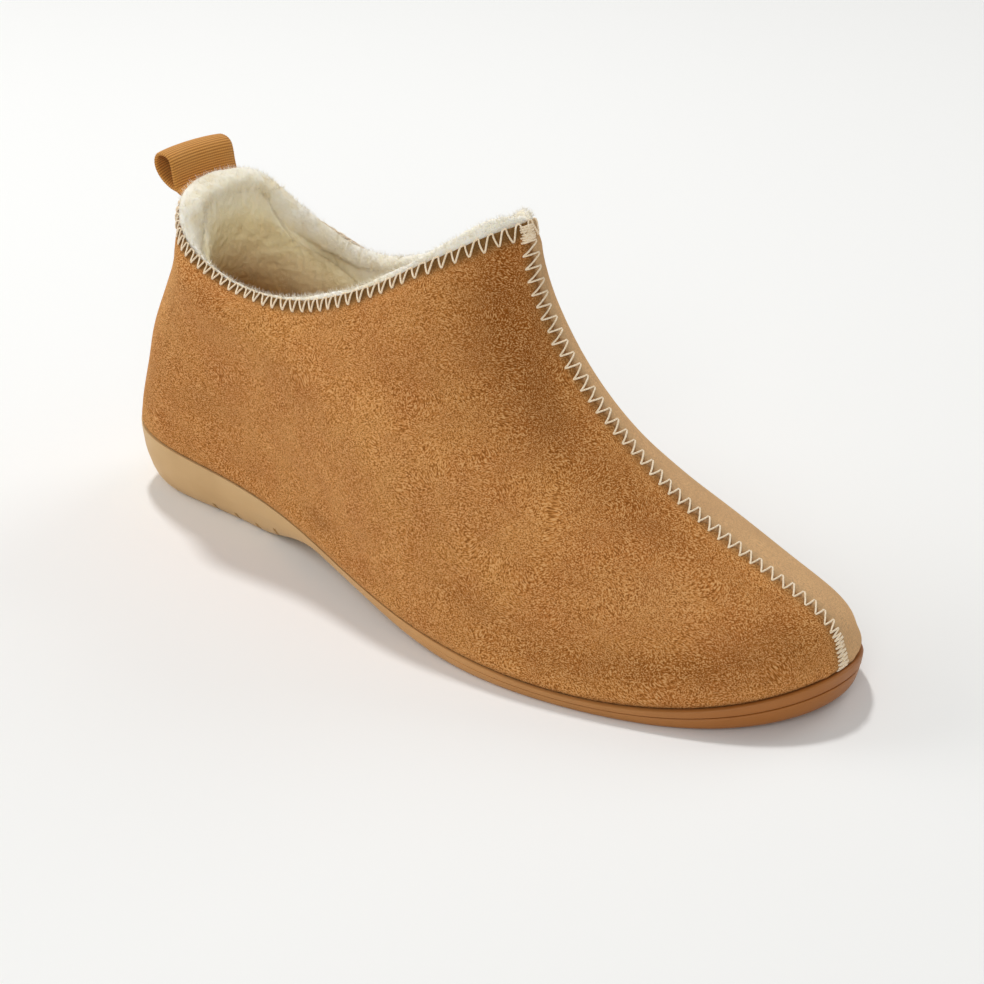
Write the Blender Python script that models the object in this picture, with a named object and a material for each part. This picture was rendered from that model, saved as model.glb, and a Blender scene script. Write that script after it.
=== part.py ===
"""Bootie slipper for the right foot: a hollow upper shaped on a last, a moulded rubber
outsole with a heel wedge and an open arch, an insole, and a ribbon pull loop at the heel.

The slipper stands on its sole, toe towards +X and big-toe side towards +Y. Each ring
around the foot is a closed curve read by an angle: zero at the toe, half a turn at the
back of the heel. Rings are stacked from the feather line, where the upper meets the
sole, up to the collar.
"""

import math

import bmesh
import bpy
import numpy as np

# The last, seen from above
LAST_LENGTH = 0.259
HEEL_WIDTH = 0.059
WAIST_WIDTH = 0.067
BALL_WIDTH = 0.0895
TOE_WIDTH = 0.0665
TOE_SWING = 0.0118

# Heights of the feather line above the floor
SOLE_BACK = 0.0250
SOLE_HEEL = 0.0157
SOLE_WAIST = 0.0098
SOLE_BALL = 0.0046
SOLE_TOE = 0.0136

# Heights of the collar above the floor
COLLAR_BACK = 0.0995
COLLAR_HEEL = 0.0855
COLLAR_SIDE = 0.0852
COLLAR_INSTEP = 0.1034
COLLAR_PEAK = 0.1202

# Walls and fits
UPPER_WALL = 0.0030
COLLAR_CROWN = 0.00075
FIT_GAP = 0.0003
INSOLE_THICKNESS = 0.0045
INSOLE_ROUND = 0.0012
INSOLE_SHOULDER = 0.00036

# Outsole
RIM_HEEL = 0.0006
RIM_FORE = 0.0020
SHANK_THICKNESS = 0.0032
TOE_SPRING = 0.0030
HEEL_DRAFT = math.radians(20)
FORE_DRAFT = math.radians(16)
SIDE_GROOVE = 0.0007
TREAD_WIDTH = 0.0016
TREAD_DEPTH = 0.0012
TREAD_PITCH = 0.0102
TREAD_MARGIN = 0.0060

# Pull loop
LOOP_WIDTH = 0.0250
LOOP_THICKNESS = 0.0011
LOOP_HEIGHT = 0.0120
LOOP_DEPTH = 0.0145
LOOP_TAIL = 0.0120

# Stations along each ring's own length, from its back to its front
WIDTH_STATIONS = (0.08, 0.38, 0.68, 0.90, 0.985)
HEIGHT_STATIONS = (0.0, 0.22, 0.48, 0.76, 1.0)

# Columns: way up the upper; back and front, shares of the last's length; half-widths at
# the five width stations, shares of half of heel, waist, ball, toe and toe width; rises at
# the five height stations, shares of the way from the feather line up to the collar.
RINGS = (
    (0.00, 0.000, 1.000, 0.95, 0.96, 1.00, 0.98, 0.44, 0.00, 0.00, 0.00, 0.00, 0.00),
    (0.10, 0.009, 0.998, 1.00, 0.99, 1.00, 0.92, 0.41, 0.08, 0.13, 0.13, 0.11, 0.08),
    (0.27, 0.023, 0.958, 1.00, 1.01, 0.94, 0.81, 0.34, 0.27, 0.35, 0.32, 0.24, 0.17),
    (0.50, 0.036, 0.850, 0.96, 0.99, 0.85, 0.68, 0.27, 0.48, 0.58, 0.55, 0.42, 0.29),
    (0.73, 0.054, 0.712, 0.86, 0.93, 0.70, 0.55, 0.18, 0.70, 0.79, 0.79, 0.63, 0.52),
    (0.91, 0.069, 0.616, 0.79, 0.82, 0.57, 0.48, 0.14, 0.89, 0.94, 0.93, 0.87, 0.83),
    (1.00, 0.072, 0.600, 0.75, 0.71, 0.48, 0.35, 0.12, 1.00, 1.00, 1.00, 1.00, 1.00),
)

# Shares of the last's length where the sole's underside changes
BREAST = (0.235, 0.385)
ARCH_FALL = (0.46, 0.70)
SPRING_START = 0.86
SWING_START = 0.42
RIM_GROWTH = (0.45, 0.95)
EDGE_TREAD = (0.163, 0.283)
INSIDE_TREAD = ((0.045, 0.130), (0.66, 0.90))

# Columns: way down the sole's side, share of its draft, share of the groove's depth
SIDE_LEVELS = (
    (0.00, 0.00, 0.70),
    (0.07, 0.00, 0.00),
    (0.28, 0.06, 0.00),
    (0.34, 0.10, 1.00),
    (0.42, 0.14, 0.50),
    (0.66, 0.32, 0.30),
    (0.88, 0.62, 0.30),
    (1.00, 1.00, 0.60),
)

# Columns: distance behind the collar's inner edge, share of the loop's depth; height above
# it, share of the loop's height; share of the collar's curve that the ribbon keeps
LOOP_PATH = (
    (0.06, 0.155, 1.00),
    (0.32, 0.185, 0.95),
    (0.60, 0.25, 0.80),
    (0.81, 0.42, 0.60),
    (0.91, 0.68, 0.45),
    (0.82, 0.92, 0.35),
    (0.61, 0.98, 0.30),
    (0.42, 0.90, 0.40),
    (0.31, 0.69, 0.50),
    (0.23, 0.46, 0.70),
    (0.06, 0.32, 0.90),
)

# Mesh density
AROUND = 60
OUTER_ROWS = 30
INNER_ROWS = 22
LOOP_COLUMNS = 9
LOOP_SAMPLES = 34
RIM_STEPS = 3
HEEL_SAMPLES = 81
TAIL_SAMPLES = 12
FOOT_SAMPLES = 9

HALF_TURN = math.pi
ANGLES = np.linspace(0.0, 2.0 * math.pi, AROUND, endpoint=False)
DIFFERENCE = 1e-4
WALL_BLEND = 0.08
INSOLE_REACH = 0.20
HEEL_ARC = (0.75 * HALF_TURN, 1.25 * HALF_TURN)


def station_angles(stations):
    return np.arccos(2.0 * np.array(stations) - 1.0)


WIDTH_FIT = np.linalg.inv(np.sin(np.outer(station_angles(WIDTH_STATIONS), np.arange(1, 6))))
HEIGHT_FIT = np.linalg.inv(np.cos(np.outer(station_angles(HEIGHT_STATIONS), np.arange(5))))


def smooth_step(limits, value):
    """A share that eases from zero to one between two limits."""
    share = np.clip((value - limits[0]) / (limits[1] - limits[0]), 0.0, 1.0)
    return share * share * (3.0 - 2.0 * share)


def spline(knots, values, at):
    """Natural cubic spline through the rows of values, read at the given places."""
    knots = np.array(knots, float)
    values = np.array(values, float)
    at = np.asarray(at, float)
    step = np.diff(knots)
    count = len(knots)
    matrix = np.eye(count)
    right = np.zeros_like(values)
    slope = np.diff(values, axis=0) / step[:, None]
    for i in range(1, count - 1):
        matrix[i, i - 1:i + 2] = (step[i - 1], 2.0 * (step[i - 1] + step[i]), step[i])
        right[i] = 6.0 * (slope[i] - slope[i - 1])
    bend = np.linalg.solve(matrix, right)
    cell = np.clip(np.searchsorted(knots, at, side="right") - 1, 0, count - 2)
    width = step[cell][:, None]
    after = (at - knots[cell])[:, None]
    before = width - after
    low = bend[cell]
    high = bend[cell + 1]
    straight = (values[cell] * before + values[cell + 1] * after) / width
    curve = low * (before ** 3 / width - before * width) + high * (after ** 3 / width - after * width)
    return straight + curve / 6.0


def ring_sizes():
    """The ring table in metres: back, front, five half-widths and five heights a row."""
    shares = np.array(RINGS)
    half_widths = 0.5 * np.array((HEEL_WIDTH, WAIST_WIDTH, BALL_WIDTH, TOE_WIDTH, TOE_WIDTH))
    feather = np.array((SOLE_BACK, SOLE_HEEL, SOLE_WAIST, SOLE_BALL, SOLE_TOE))
    collar = np.array((COLLAR_BACK, COLLAR_HEEL, COLLAR_SIDE, COLLAR_INSTEP, COLLAR_PEAK))
    ends = shares[:, 1:3] * LAST_LENGTH
    widths = shares[:, 3:8] * half_widths
    heights = feather + shares[:, 8:13] * (collar - feather)
    return np.hstack((ends, widths, heights))


RING_WAYS = [row[0] for row in RINGS]
RING_SIZES = ring_sizes()


def centre_line(x):
    """Sideways place of the last's centre line, which swings towards the big toe."""
    share = np.clip((x / LAST_LENGTH - SWING_START) / (1.0 - SWING_START), 0.0, 1.0)
    return TOE_SWING * share ** 2


def ring_points(sizes, angles):
    """Points on one ring, whose height depends on its place along the foot alone."""
    back, front = sizes[0], sizes[1]
    x = 0.5 * (back + front) + 0.5 * (front - back) * np.cos(angles)
    width_terms = WIDTH_FIT @ sizes[2:7]
    height_terms = HEIGHT_FIT @ sizes[7:12]
    across = sum(width_terms[k] * np.sin((k + 1) * angles) for k in range(5))
    height = sum(height_terms[k] * np.cos(k * angles) for k in range(5))
    return np.stack((x, centre_line(x) + across, height), axis=-1)


def upper_ring(way, angles):
    """One ring of the upper's outer face, at a way up between feather line and collar."""
    sizes = spline(RING_WAYS, RING_SIZES, np.array([way]))[0]
    return ring_points(sizes, angles)


def feather_height(x):
    """Height of the feather line at a place along the foot."""
    height_terms = HEIGHT_FIT @ RING_SIZES[0][7:12]
    along = (np.asarray(x) - 0.5 * LAST_LENGTH) / (0.5 * LAST_LENGTH)
    return np.polynomial.chebyshev.chebval(along, height_terms)


def plan_normals(ring):
    """Unit normals of a closed ring as seen from above, pointing out of it."""
    along = np.roll(ring, -1, axis=0) - np.roll(ring, 1, axis=0)
    normal = np.stack((along[:, 1], -along[:, 0], np.zeros(len(ring))), axis=-1)
    return normal / np.linalg.norm(normal, axis=1)[:, None]


def surface_normals(way, angles):
    """Unit normals of the upper's outer face; level with the floor at the feather line."""
    low = max(way - DIFFERENCE, 0.0)
    high = min(way + DIFFERENCE, 1.0)
    around = upper_ring(way, angles + DIFFERENCE) - upper_ring(way, angles - DIFFERENCE)
    upwards = upper_ring(high, angles) - upper_ring(low, angles)
    normal = np.cross(around, upwards)
    normal /= np.linalg.norm(normal, axis=1)[:, None]
    normal[:, 2] *= smooth_step((0.0, WALL_BLEND), way)
    return normal / np.linalg.norm(normal, axis=1)[:, None]


def inner_ring(way, depth, angles=ANGLES):
    """A ring that lies a depth under the outer face, on the feather surface at its foot."""
    ring = upper_ring(way, angles) - depth * surface_normals(way, angles)
    if way == 0.0:
        ring[:, 2] = feather_height(ring[:, 0])
    return ring


def material(name, colour, roughness):
    finish = bpy.data.materials.new(name)
    finish.use_nodes = True
    shader = finish.node_tree.nodes["Principled BSDF"]
    shader.inputs["Base Color"].default_value = (*colour, 1.0)
    shader.inputs["Roughness"].default_value = roughness
    shader.inputs["Metallic"].default_value = 0.0
    return finish


def add_object(name, bm, finish, frame):
    """Finish a bmesh as a smooth shaded object under the frame empty."""
    bmesh.ops.recalc_face_normals(bm, faces=bm.faces)
    mesh = bpy.data.meshes.new(name)
    bm.to_mesh(mesh)
    bm.free()
    mesh.materials.append(finish)
    mesh.shade_smooth()
    mesh.set_sharp_from_angle(angle=math.radians(50))
    piece = bpy.data.objects.new(name, mesh)
    bpy.context.collection.objects.link(piece)
    piece.parent = frame
    return piece


def lid(bm, loop):
    """Close a ring with strips that run straight across the foot."""
    count = len(loop)
    half = count // 2
    bm.faces.new((loop[0], loop[1], loop[count - 1]))
    for i in range(1, half - 1):
        bm.faces.new((loop[i], loop[i + 1], loop[count - i - 1], loop[count - i]))
    bm.faces.new((loop[half - 1], loop[half], loop[half + 1]))


def loft(rings, tube=False):
    """Skin a stack of rings; a tube joins the last to the first, else both ends get lids."""
    bm = bmesh.new()
    loops = [[bm.verts.new(point) for point in ring] for ring in rings]
    pairs = list(zip(loops, loops[1:]))
    if tube:
        pairs.append((loops[-1], loops[0]))
    for lower, upper in pairs:
        for i in range(len(lower)):
            j = (i + 1) % len(lower)
            bm.faces.new((lower[i], lower[j], upper[j], upper[i]))
    if not tube:
        lid(bm, loops[0])
        lid(bm, loops[-1])
    return bm


def collar_rim():
    """Rings that round the collar's top edge over the thickness of the wall."""
    rings = []
    for step in range(1, RIM_STEPS + 1):
        turn = HALF_TURN * step / (RIM_STEPS + 1)
        depth = 0.5 * UPPER_WALL * (1.0 - math.cos(turn))
        ring = inner_ring(1.0, depth)
        ring[:, 2] += COLLAR_CROWN * math.sin(turn)
        rings.append(ring)
    return rings


def build_upper(frame):
    """The hollow upper, one wall thick, open at the collar and underneath."""
    outer = [upper_ring(way, ANGLES) for way in np.linspace(0.0, 1.0, OUTER_ROWS)]
    inner = [inner_ring(way, UPPER_WALL) for way in np.linspace(1.0, 0.0, INNER_ROWS)]
    suede = material("suede", (0.43, 0.20, 0.065), 0.9)
    return add_object("upper", loft(outer + collar_rim() + inner, tube=True), suede, frame)


def sole_top(x):
    """Height of the outsole's seat, a fit below the upper's edge and the insole."""
    return feather_height(x) - FIT_GAP


def sole_bottom(x):
    """Height of the underside: flat heel, open arch, flat ball and a lifted toe."""
    share = np.asarray(x) / LAST_LENGTH
    arch = smooth_step(BREAST, share) * (1.0 - smooth_step(ARCH_FALL, share))
    spring = np.clip((share - SPRING_START) / (1.0 - SPRING_START), 0.0, None)
    return arch * (sole_top(x) - SHANK_THICKNESS) + TOE_SPRING * spring ** 2


def sole_rings():
    """Rings down the outsole's side, with its rim, groove and draft."""
    feather = upper_ring(0.0, ANGLES)
    outwards = plan_normals(feather)
    share = feather[:, 0] / LAST_LENGTH
    fore = smooth_step(RIM_GROWTH, share)
    rim = RIM_HEEL + (RIM_FORE - RIM_HEEL) * fore
    draft = np.tan(HEEL_DRAFT + (FORE_DRAFT - HEEL_DRAFT) * fore)
    tall = sole_top(feather[:, 0]) - sole_bottom(feather[:, 0])
    rings = []
    for down, tuck, step in SIDE_LEVELS:
        out = rim - tuck * draft * tall - step * SIDE_GROOVE * fore
        ring = feather + outwards * out[:, None]
        top = sole_top(ring[:, 0])
        ring[:, 2] = top + down * (sole_bottom(ring[:, 0]) - top)
        rings.append(ring)
    return rings


def tread_places(limits):
    """Places of the tread grooves between two shares of the last's length."""
    start = limits[0] * LAST_LENGTH
    count = int((limits[1] - limits[0]) * LAST_LENGTH / TREAD_PITCH) + 1
    return [start + i * TREAD_PITCH for i in range(count)]


def groove(bm, x, low, high, height):
    """One box across the sole, sunk into it from below."""
    depth = 2.0 * TREAD_DEPTH
    box = bmesh.ops.create_cube(bm, size=1.0)["verts"]
    bmesh.ops.scale(bm, verts=box, vec=(TREAD_WIDTH, high - low, depth))
    bmesh.ops.translate(bm, verts=box, vec=(x, 0.5 * (low + high), height))


def tread_cutter(ground, frame):
    """All tread grooves in one cutter: some through the heel's edge, some inside the edge."""
    bm = bmesh.new()
    half = len(ground) // 2
    big_toe_side = ground[:half][::-1]
    little_toe_side = np.vstack((ground[half:], ground[:1]))
    for x in tread_places(EDGE_TREAD):
        groove(bm, x, -HEEL_WIDTH, HEEL_WIDTH, float(sole_bottom(x)))
    for x in tread_places(INSIDE_TREAD[0]) + tread_places(INSIDE_TREAD[1]):
        high = np.interp(x, big_toe_side[:, 0], big_toe_side[:, 1]) - TREAD_MARGIN
        low = np.interp(x, little_toe_side[:, 0], little_toe_side[:, 1]) + TREAD_MARGIN
        groove(bm, x, low, high, float(sole_bottom(x)))
    cutter = add_object("tread_cutter", bm, material("cutter", (0.5, 0.5, 0.5), 0.5), frame)
    cutter.hide_render = True
    cutter.display_type = "WIRE"
    return cutter


def build_outsole(frame):
    """The moulded outsole, cut by its tread grooves."""
    rings = sole_rings()
    rubber = material("rubber", (0.33, 0.15, 0.05), 0.6)
    outsole = add_object("outsole", loft(rings), rubber, frame)
    cut = outsole.modifiers.new("tread", "BOOLEAN")
    cut.operation = "DIFFERENCE"
    cut.solver = "EXACT"
    cut.object = tread_cutter(rings[-1], frame)
    return outsole


def insole_ring(rise, inset):
    """A ring of the insole, at a rise above the feather surface, inside the upper's wall."""
    depth = UPPER_WALL + FIT_GAP
    ways = np.linspace(0.0, INSOLE_REACH, FOOT_SAMPLES)
    stack = np.array([inner_ring(way, depth) for way in ways])
    heights = stack[:, :, 2] - feather_height(stack[:, :, 0])
    ring = np.empty((AROUND, 3))
    for i in range(AROUND):
        for axis in range(3):
            ring[i, axis] = np.interp(rise, heights[:, i], stack[:, i, axis])
    ring -= inset * plan_normals(ring)
    ring[:, 2] = feather_height(ring[:, 0]) + rise
    return ring


def build_insole(frame):
    """The insole, a padded board that fills the upper's foot and lies on the outsole."""
    edge = INSOLE_THICKNESS - INSOLE_ROUND
    rings = [
        insole_ring(0.0, 0.0),
        insole_ring(0.5 * edge, 0.0),
        insole_ring(edge, 0.0),
        insole_ring(INSOLE_THICKNESS - INSOLE_SHOULDER, INSOLE_SHOULDER),
        insole_ring(INSOLE_THICKNESS, INSOLE_ROUND),
    ]
    fleece = material("fleece", (0.73, 0.66, 0.50), 0.95)
    return add_object("insole", loft(rings), fleece, frame)


def heel_columns():
    """Angles around the back of the heel, evenly spaced across the ribbon's width."""
    angles = np.linspace(*HEEL_ARC, HEEL_SAMPLES)
    collar = inner_ring(1.0, UPPER_WALL, angles)
    across = np.linspace(0.5, -0.5, LOOP_COLUMNS) * LOOP_WIDTH
    return np.interp(-across, -collar[:, 1], angles)


def tail_points(angles, depth):
    """The ribbon's tail inside the back of the heel, from its end up to the collar."""
    ways = np.linspace(RING_WAYS[4], 1.0, TAIL_SAMPLES)
    wall = np.array([inner_ring(way, depth, angles) for way in ways])
    middle = len(angles) // 2
    drop = wall[-1, middle, 2] - wall[:, middle, 2]
    steps = np.interp((LOOP_TAIL, 0.5 * LOOP_TAIL, 0.0), drop[::-1], ways[::-1])
    return [inner_ring(way, depth, angles) for way in steps]


def build_pull_loop(frame):
    """The ribbon loop: two plies sewn inside the heel, and a loop that leans back."""
    angles = heel_columns()
    middle = LOOP_COLUMNS // 2
    wall_ply = UPPER_WALL + FIT_GAP + 0.5 * LOOP_THICKNESS
    foot_ply = wall_ply + LOOP_THICKNESS + FIT_GAP
    collar = inner_ring(1.0, UPPER_WALL, angles)
    crown = collar[middle]
    rows = tail_points(angles, wall_ply)
    for back, up, curl in LOOP_PATH:
        row = np.empty((LOOP_COLUMNS, 3))
        row[:, 0] = crown[0] - back * LOOP_DEPTH + curl * (collar[:, 0] - crown[0])
        row[:, 1] = collar[:, 1]
        row[:, 2] = crown[2] + up * LOOP_HEIGHT + curl * (collar[:, 2] - crown[2])
        rows.append(row)
    rows += tail_points(angles, foot_ply)[::-1]
    path = np.array(rows)
    hops = np.linalg.norm(np.diff(path[:, middle], axis=0), axis=1)
    places = np.concatenate(((0.0,), np.cumsum(hops)))
    samples = np.linspace(0.0, places[-1], LOOP_SAMPLES)
    flat = spline(places, path.reshape(len(path), -1), samples)
    ribbon = flat.reshape(LOOP_SAMPLES, LOOP_COLUMNS, 3)
    bm = bmesh.new()
    lines = [[bm.verts.new(point) for point in line] for line in ribbon]
    for lower, upper in zip(lines, lines[1:]):
        for i in range(LOOP_COLUMNS - 1):
            bm.faces.new((lower[i], lower[i + 1], upper[i + 1], upper[i]))
    piece = add_object("pull_loop", bm, material("ribbon", (0.42, 0.19, 0.06), 0.8), frame)
    ply = piece.modifiers.new("ply", "SOLIDIFY")
    ply.thickness = LOOP_THICKNESS
    ply.offset = 0.0
    ply.use_even_offset = True
    return piece


def centred_frame():
    """The empty that carries every piece, with the sole's outline centred on the origin."""
    outline = np.vstack([ring[:, :2] for ring in sole_rings()])
    middle = 0.5 * (outline.min(axis=0) + outline.max(axis=0))
    frame = bpy.data.objects.new("slipper", None)
    frame.location = (-middle[0], -middle[1], 0.0)
    bpy.context.collection.objects.link(frame)
    return frame


def main():
    for old in list(bpy.data.objects):
        bpy.data.objects.remove(old, do_unlink=True)
    frame = centred_frame()
    build_outsole(frame)
    build_insole(frame)
    build_upper(frame)
    build_pull_loop(frame)


main()
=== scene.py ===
"""Looks of the bootie slipper: brushed microsuede upper with a zigzag centre seam, pile
fleece inside, a moulded rubber sole and a ribbed ribbon loop, on a pale studio floor.

Every soft surface is read from the same last as the solids: a stack of closed rings from
the feather line, where the upper meets the sole, up to the collar. An angle runs around a
ring, zero at the toe and half a turn at the back of the heel, and a way runs up the upper.
"""

import math

import bmesh
import bpy
import numpy as np
from mathutils import Matrix, Vector, noise


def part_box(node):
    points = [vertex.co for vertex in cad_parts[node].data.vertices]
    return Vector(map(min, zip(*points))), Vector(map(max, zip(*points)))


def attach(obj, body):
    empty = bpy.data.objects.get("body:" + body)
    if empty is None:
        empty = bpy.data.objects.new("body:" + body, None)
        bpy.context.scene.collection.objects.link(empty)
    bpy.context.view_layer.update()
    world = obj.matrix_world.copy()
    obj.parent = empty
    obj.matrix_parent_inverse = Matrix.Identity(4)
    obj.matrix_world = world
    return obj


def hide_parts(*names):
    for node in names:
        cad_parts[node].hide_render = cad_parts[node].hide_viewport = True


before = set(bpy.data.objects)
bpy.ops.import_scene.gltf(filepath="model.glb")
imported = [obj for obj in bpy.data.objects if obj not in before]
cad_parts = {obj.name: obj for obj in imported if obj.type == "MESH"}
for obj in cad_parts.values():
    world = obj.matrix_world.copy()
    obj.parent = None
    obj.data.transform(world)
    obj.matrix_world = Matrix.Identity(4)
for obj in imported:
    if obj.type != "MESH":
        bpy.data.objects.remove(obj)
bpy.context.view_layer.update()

bl_info = {
    "name": "Bootie slipper looks",
    "version": (1, 0, 0),
    "blender": (4, 5, 0),
    "location": "3D View > Sidebar > Slipper",
    "description": "Builds the suede, fleece, thread, rubber and ribbon of a bootie slipper",
    "category": "Add Mesh",
}

MM = 0.001

# The last, seen from above
LAST_LENGTH = 259.0 * MM
HEEL_WIDTH = 59.0 * MM
WAIST_WIDTH = 67.0 * MM
BALL_WIDTH = 89.5 * MM
TOE_WIDTH = 66.5 * MM
TOE_SWING = 11.8 * MM
SWING_START = 0.42

# Heights of the feather line and of the collar at back, heel, waist, ball and toe; the suede
# dips a little lower than the solid's collar at the waist and the ball
FEATHER_HEIGHTS = np.array((25.0, 15.7, 9.8, 4.6, 13.6)) * MM
COLLAR_HEIGHTS = np.array((99.5, 85.0, 84.3, 101.7, 120.2)) * MM

# Stations along each ring's own length, from its back to its front
WIDTH_STATIONS = (0.08, 0.38, 0.68, 0.90, 0.985)
HEIGHT_STATIONS = (0.0, 0.22, 0.48, 0.76, 1.0)

# Columns: way up; back and front, shares of the length; five half-widths, shares of half of
# heel, waist, ball, toe and toe width; five rises, shares of the way up to the collar.
RINGS = (
    (0.00, 0.000, 1.000, 0.95, 0.96, 1.00, 0.98, 0.44, 0.00, 0.00, 0.00, 0.00, 0.00),
    (0.10, 0.009, 0.998, 1.00, 0.99, 1.00, 0.92, 0.41, 0.08, 0.13, 0.13, 0.11, 0.08),
    (0.27, 0.023, 0.958, 1.00, 1.01, 0.94, 0.81, 0.34, 0.27, 0.35, 0.32, 0.24, 0.17),
    (0.50, 0.036, 0.850, 0.96, 0.99, 0.85, 0.68, 0.27, 0.48, 0.58, 0.55, 0.42, 0.29),
    (0.73, 0.054, 0.712, 0.86, 0.93, 0.70, 0.55, 0.18, 0.70, 0.79, 0.79, 0.63, 0.52),
    (0.91, 0.069, 0.616, 0.79, 0.82, 0.57, 0.48, 0.14, 0.89, 0.94, 0.93, 0.87, 0.83),
    (1.00, 0.072, 0.600, 0.75, 0.71, 0.48, 0.35, 0.12, 1.00, 1.00, 1.00, 1.00, 1.00),
)

# Outsole, in the solids' own sizes
FIT_GAP = 0.3 * MM
RIM_HEEL = 0.6 * MM
RIM_FORE = 2.0 * MM
SHANK_THICKNESS = 3.2 * MM
TOE_SPRING = 3.0 * MM
HEEL_DRAFT = math.radians(20)
FORE_DRAFT = math.radians(16)
SIDE_GROOVE = 0.8 * MM
BREAST = (0.235, 0.385)
ARCH_FALL = (0.46, 0.70)
SPRING_START = 0.86
RIM_GROWTH = (0.45, 0.95)
TREAD_WIDTH = 1.6 * MM
TREAD_DEPTH = 1.2 * MM
TREAD_PITCH = 10.2 * MM
TREAD_MARGIN = 6.0 * MM
EDGE_TREAD = (0.163, 0.283)
EDGE_TREAD_DEPTH = 3.4 * MM
INSIDE_TREAD = ((0.045, 0.130), (0.66, 0.90))

# Columns: way down the sole's side, share of its draft, share of the groove's depth
SIDE_LEVELS = (
    (0.000, 0.000, 1.00),
    (0.012, 0.000, 0.55),
    (0.040, 0.000, 0.15),
    (0.080, 0.000, 0.00),
    (0.200, 0.040, 0.00),
    (0.340, 0.085, 0.05),
    (0.370, 0.100, 0.40),
    (0.385, 0.108, 1.00),
    (0.400, 0.115, 1.00),
    (0.420, 0.125, 0.45),
    (0.470, 0.160, 0.20),
    (0.660, 0.320, 0.15),
    (0.800, 0.490, 0.15),
    (0.900, 0.680, 0.25),
    (0.960, 0.840, 0.50),
    (1.000, 1.000, 1.00),
)

# Insole and upper wall, in the solids' own sizes
UPPER_WALL = 3.0 * MM
INSOLE_THICKNESS = 4.5 * MM
INSOLE_ROUND = 1.2 * MM

# Pull loop, in the solids' own sizes
LOOP_WIDTH = 25.0 * MM
LOOP_THICKNESS = 1.1 * MM
LOOP_HEIGHT = 12.0 * MM
LOOP_DEPTH = 14.5 * MM
LOOP_TAIL = 12.0 * MM

# Columns: distance behind the collar's inner edge, share of the loop's depth; height above
# it, share of the loop's height; share of the collar's curve that the ribbon keeps
LOOP_PATH = (
    (0.06, 0.155, 1.00),
    (0.32, 0.185, 0.95),
    (0.60, 0.25, 0.80),
    (0.81, 0.42, 0.60),
    (0.91, 0.68, 0.45),
    (0.82, 0.92, 0.35),
    (0.61, 0.98, 0.28),
    (0.42, 0.90, 0.26),
    (0.34, 0.69, 0.24),
    (0.31, 0.48, 0.24),
    (0.28, 0.30, 0.24),
    (0.20, 0.10, 0.32),
)

# The photograph's camera: where it aims, its bearing, its height angle and its distance
CAMERA_TARGET = (131.8 * MM, 0.0, 45.0 * MM)
CAMERA_SLIDE = (6.6 * MM, -14.3 * MM)
CAMERA_AZIMUTH = math.radians(42.6)
CAMERA_ELEVATION = math.radians(26.7)
CAMERA_DISTANCE = 720.0 * MM
CAMERA_LENS = 88.8
CAMERA_SENSOR = 36.0

TURN = 2.0 * math.pi

# How far the centre seam leans to the little-toe side, and the ways over which it does
SEAM_LEAN = 1.5 * MM
SEAM_LEAN_WAYS = (0.50, 0.85)

# Ways over which the outer face's normals tilt from level, at the feather line, to their own
LEVEL_WAYS = (0.0, 0.08)


# The last and its surfaces

def station_angles(stations):
    return np.arccos(2.0 * np.array(stations) - 1.0)


WIDTH_FIT = np.linalg.inv(np.sin(np.outer(station_angles(WIDTH_STATIONS), np.arange(1, 6))))
HEIGHT_FIT = np.linalg.inv(np.cos(np.outer(station_angles(HEIGHT_STATIONS), np.arange(5))))


def smooth_step(limits, value):
    """A share that eases from zero to one between two limits."""
    share = np.clip((value - limits[0]) / (limits[1] - limits[0]), 0.0, 1.0)
    return share * share * (3.0 - 2.0 * share)


def unit(vectors):
    """The same directions, each of length one."""
    return vectors / np.linalg.norm(vectors, axis=-1)[..., None]


def fade(distance, reach, power=2):
    """One at no distance, easing to nothing beyond the reach."""
    return np.exp(-(distance / reach) ** power)


def spline(knots, values, at):
    """Natural cubic spline through the rows of values, read at the given places."""
    knots = np.array(knots, float)
    values = np.array(values, float)
    at = np.asarray(at, float)
    step = np.diff(knots)
    count = len(knots)
    matrix = np.eye(count)
    right = np.zeros_like(values)
    slope = np.diff(values, axis=0) / step[:, None]
    for i in range(1, count - 1):
        matrix[i, i - 1:i + 2] = (step[i - 1], 2.0 * (step[i - 1] + step[i]), step[i])
        right[i] = 6.0 * (slope[i] - slope[i - 1])
    bend = np.linalg.solve(matrix, right)
    cell = np.clip(np.searchsorted(knots, at, side="right") - 1, 0, count - 2)
    width = step[cell][:, None]
    after = (at - knots[cell])[:, None]
    before = width - after
    straight = (values[cell] * before + values[cell + 1] * after) / width
    low = bend[cell] * (before ** 3 / width - before * width)
    high = bend[cell + 1] * (after ** 3 / width - after * width)
    return straight + (low + high) / 6.0


def ring_sizes():
    """The ring table in metres: back, front, five half-widths and five heights a row."""
    shares = np.array(RINGS)
    half_widths = 0.5 * np.array((HEEL_WIDTH, WAIST_WIDTH, BALL_WIDTH, TOE_WIDTH, TOE_WIDTH))
    heights = FEATHER_HEIGHTS + shares[:, 8:13] * (COLLAR_HEIGHTS - FEATHER_HEIGHTS)
    return np.hstack((shares[:, 1:3] * LAST_LENGTH, shares[:, 3:8] * half_widths, heights))


RING_WAYS = [row[0] for row in RINGS]
RING_SIZES = ring_sizes()

# Where the last's heel point lies in the frame
PLACE = np.array((
    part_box("outsole")[0][0] + RIM_HEEL,
    0.5 * (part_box("pull_loop")[0][1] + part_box("pull_loop")[1][1]),
    0.0,
))


def centre_line(x):
    share = np.clip((x / LAST_LENGTH - SWING_START) / (1.0 - SWING_START), 0.0, 1.0)
    return TOE_SWING * share ** 2


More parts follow.
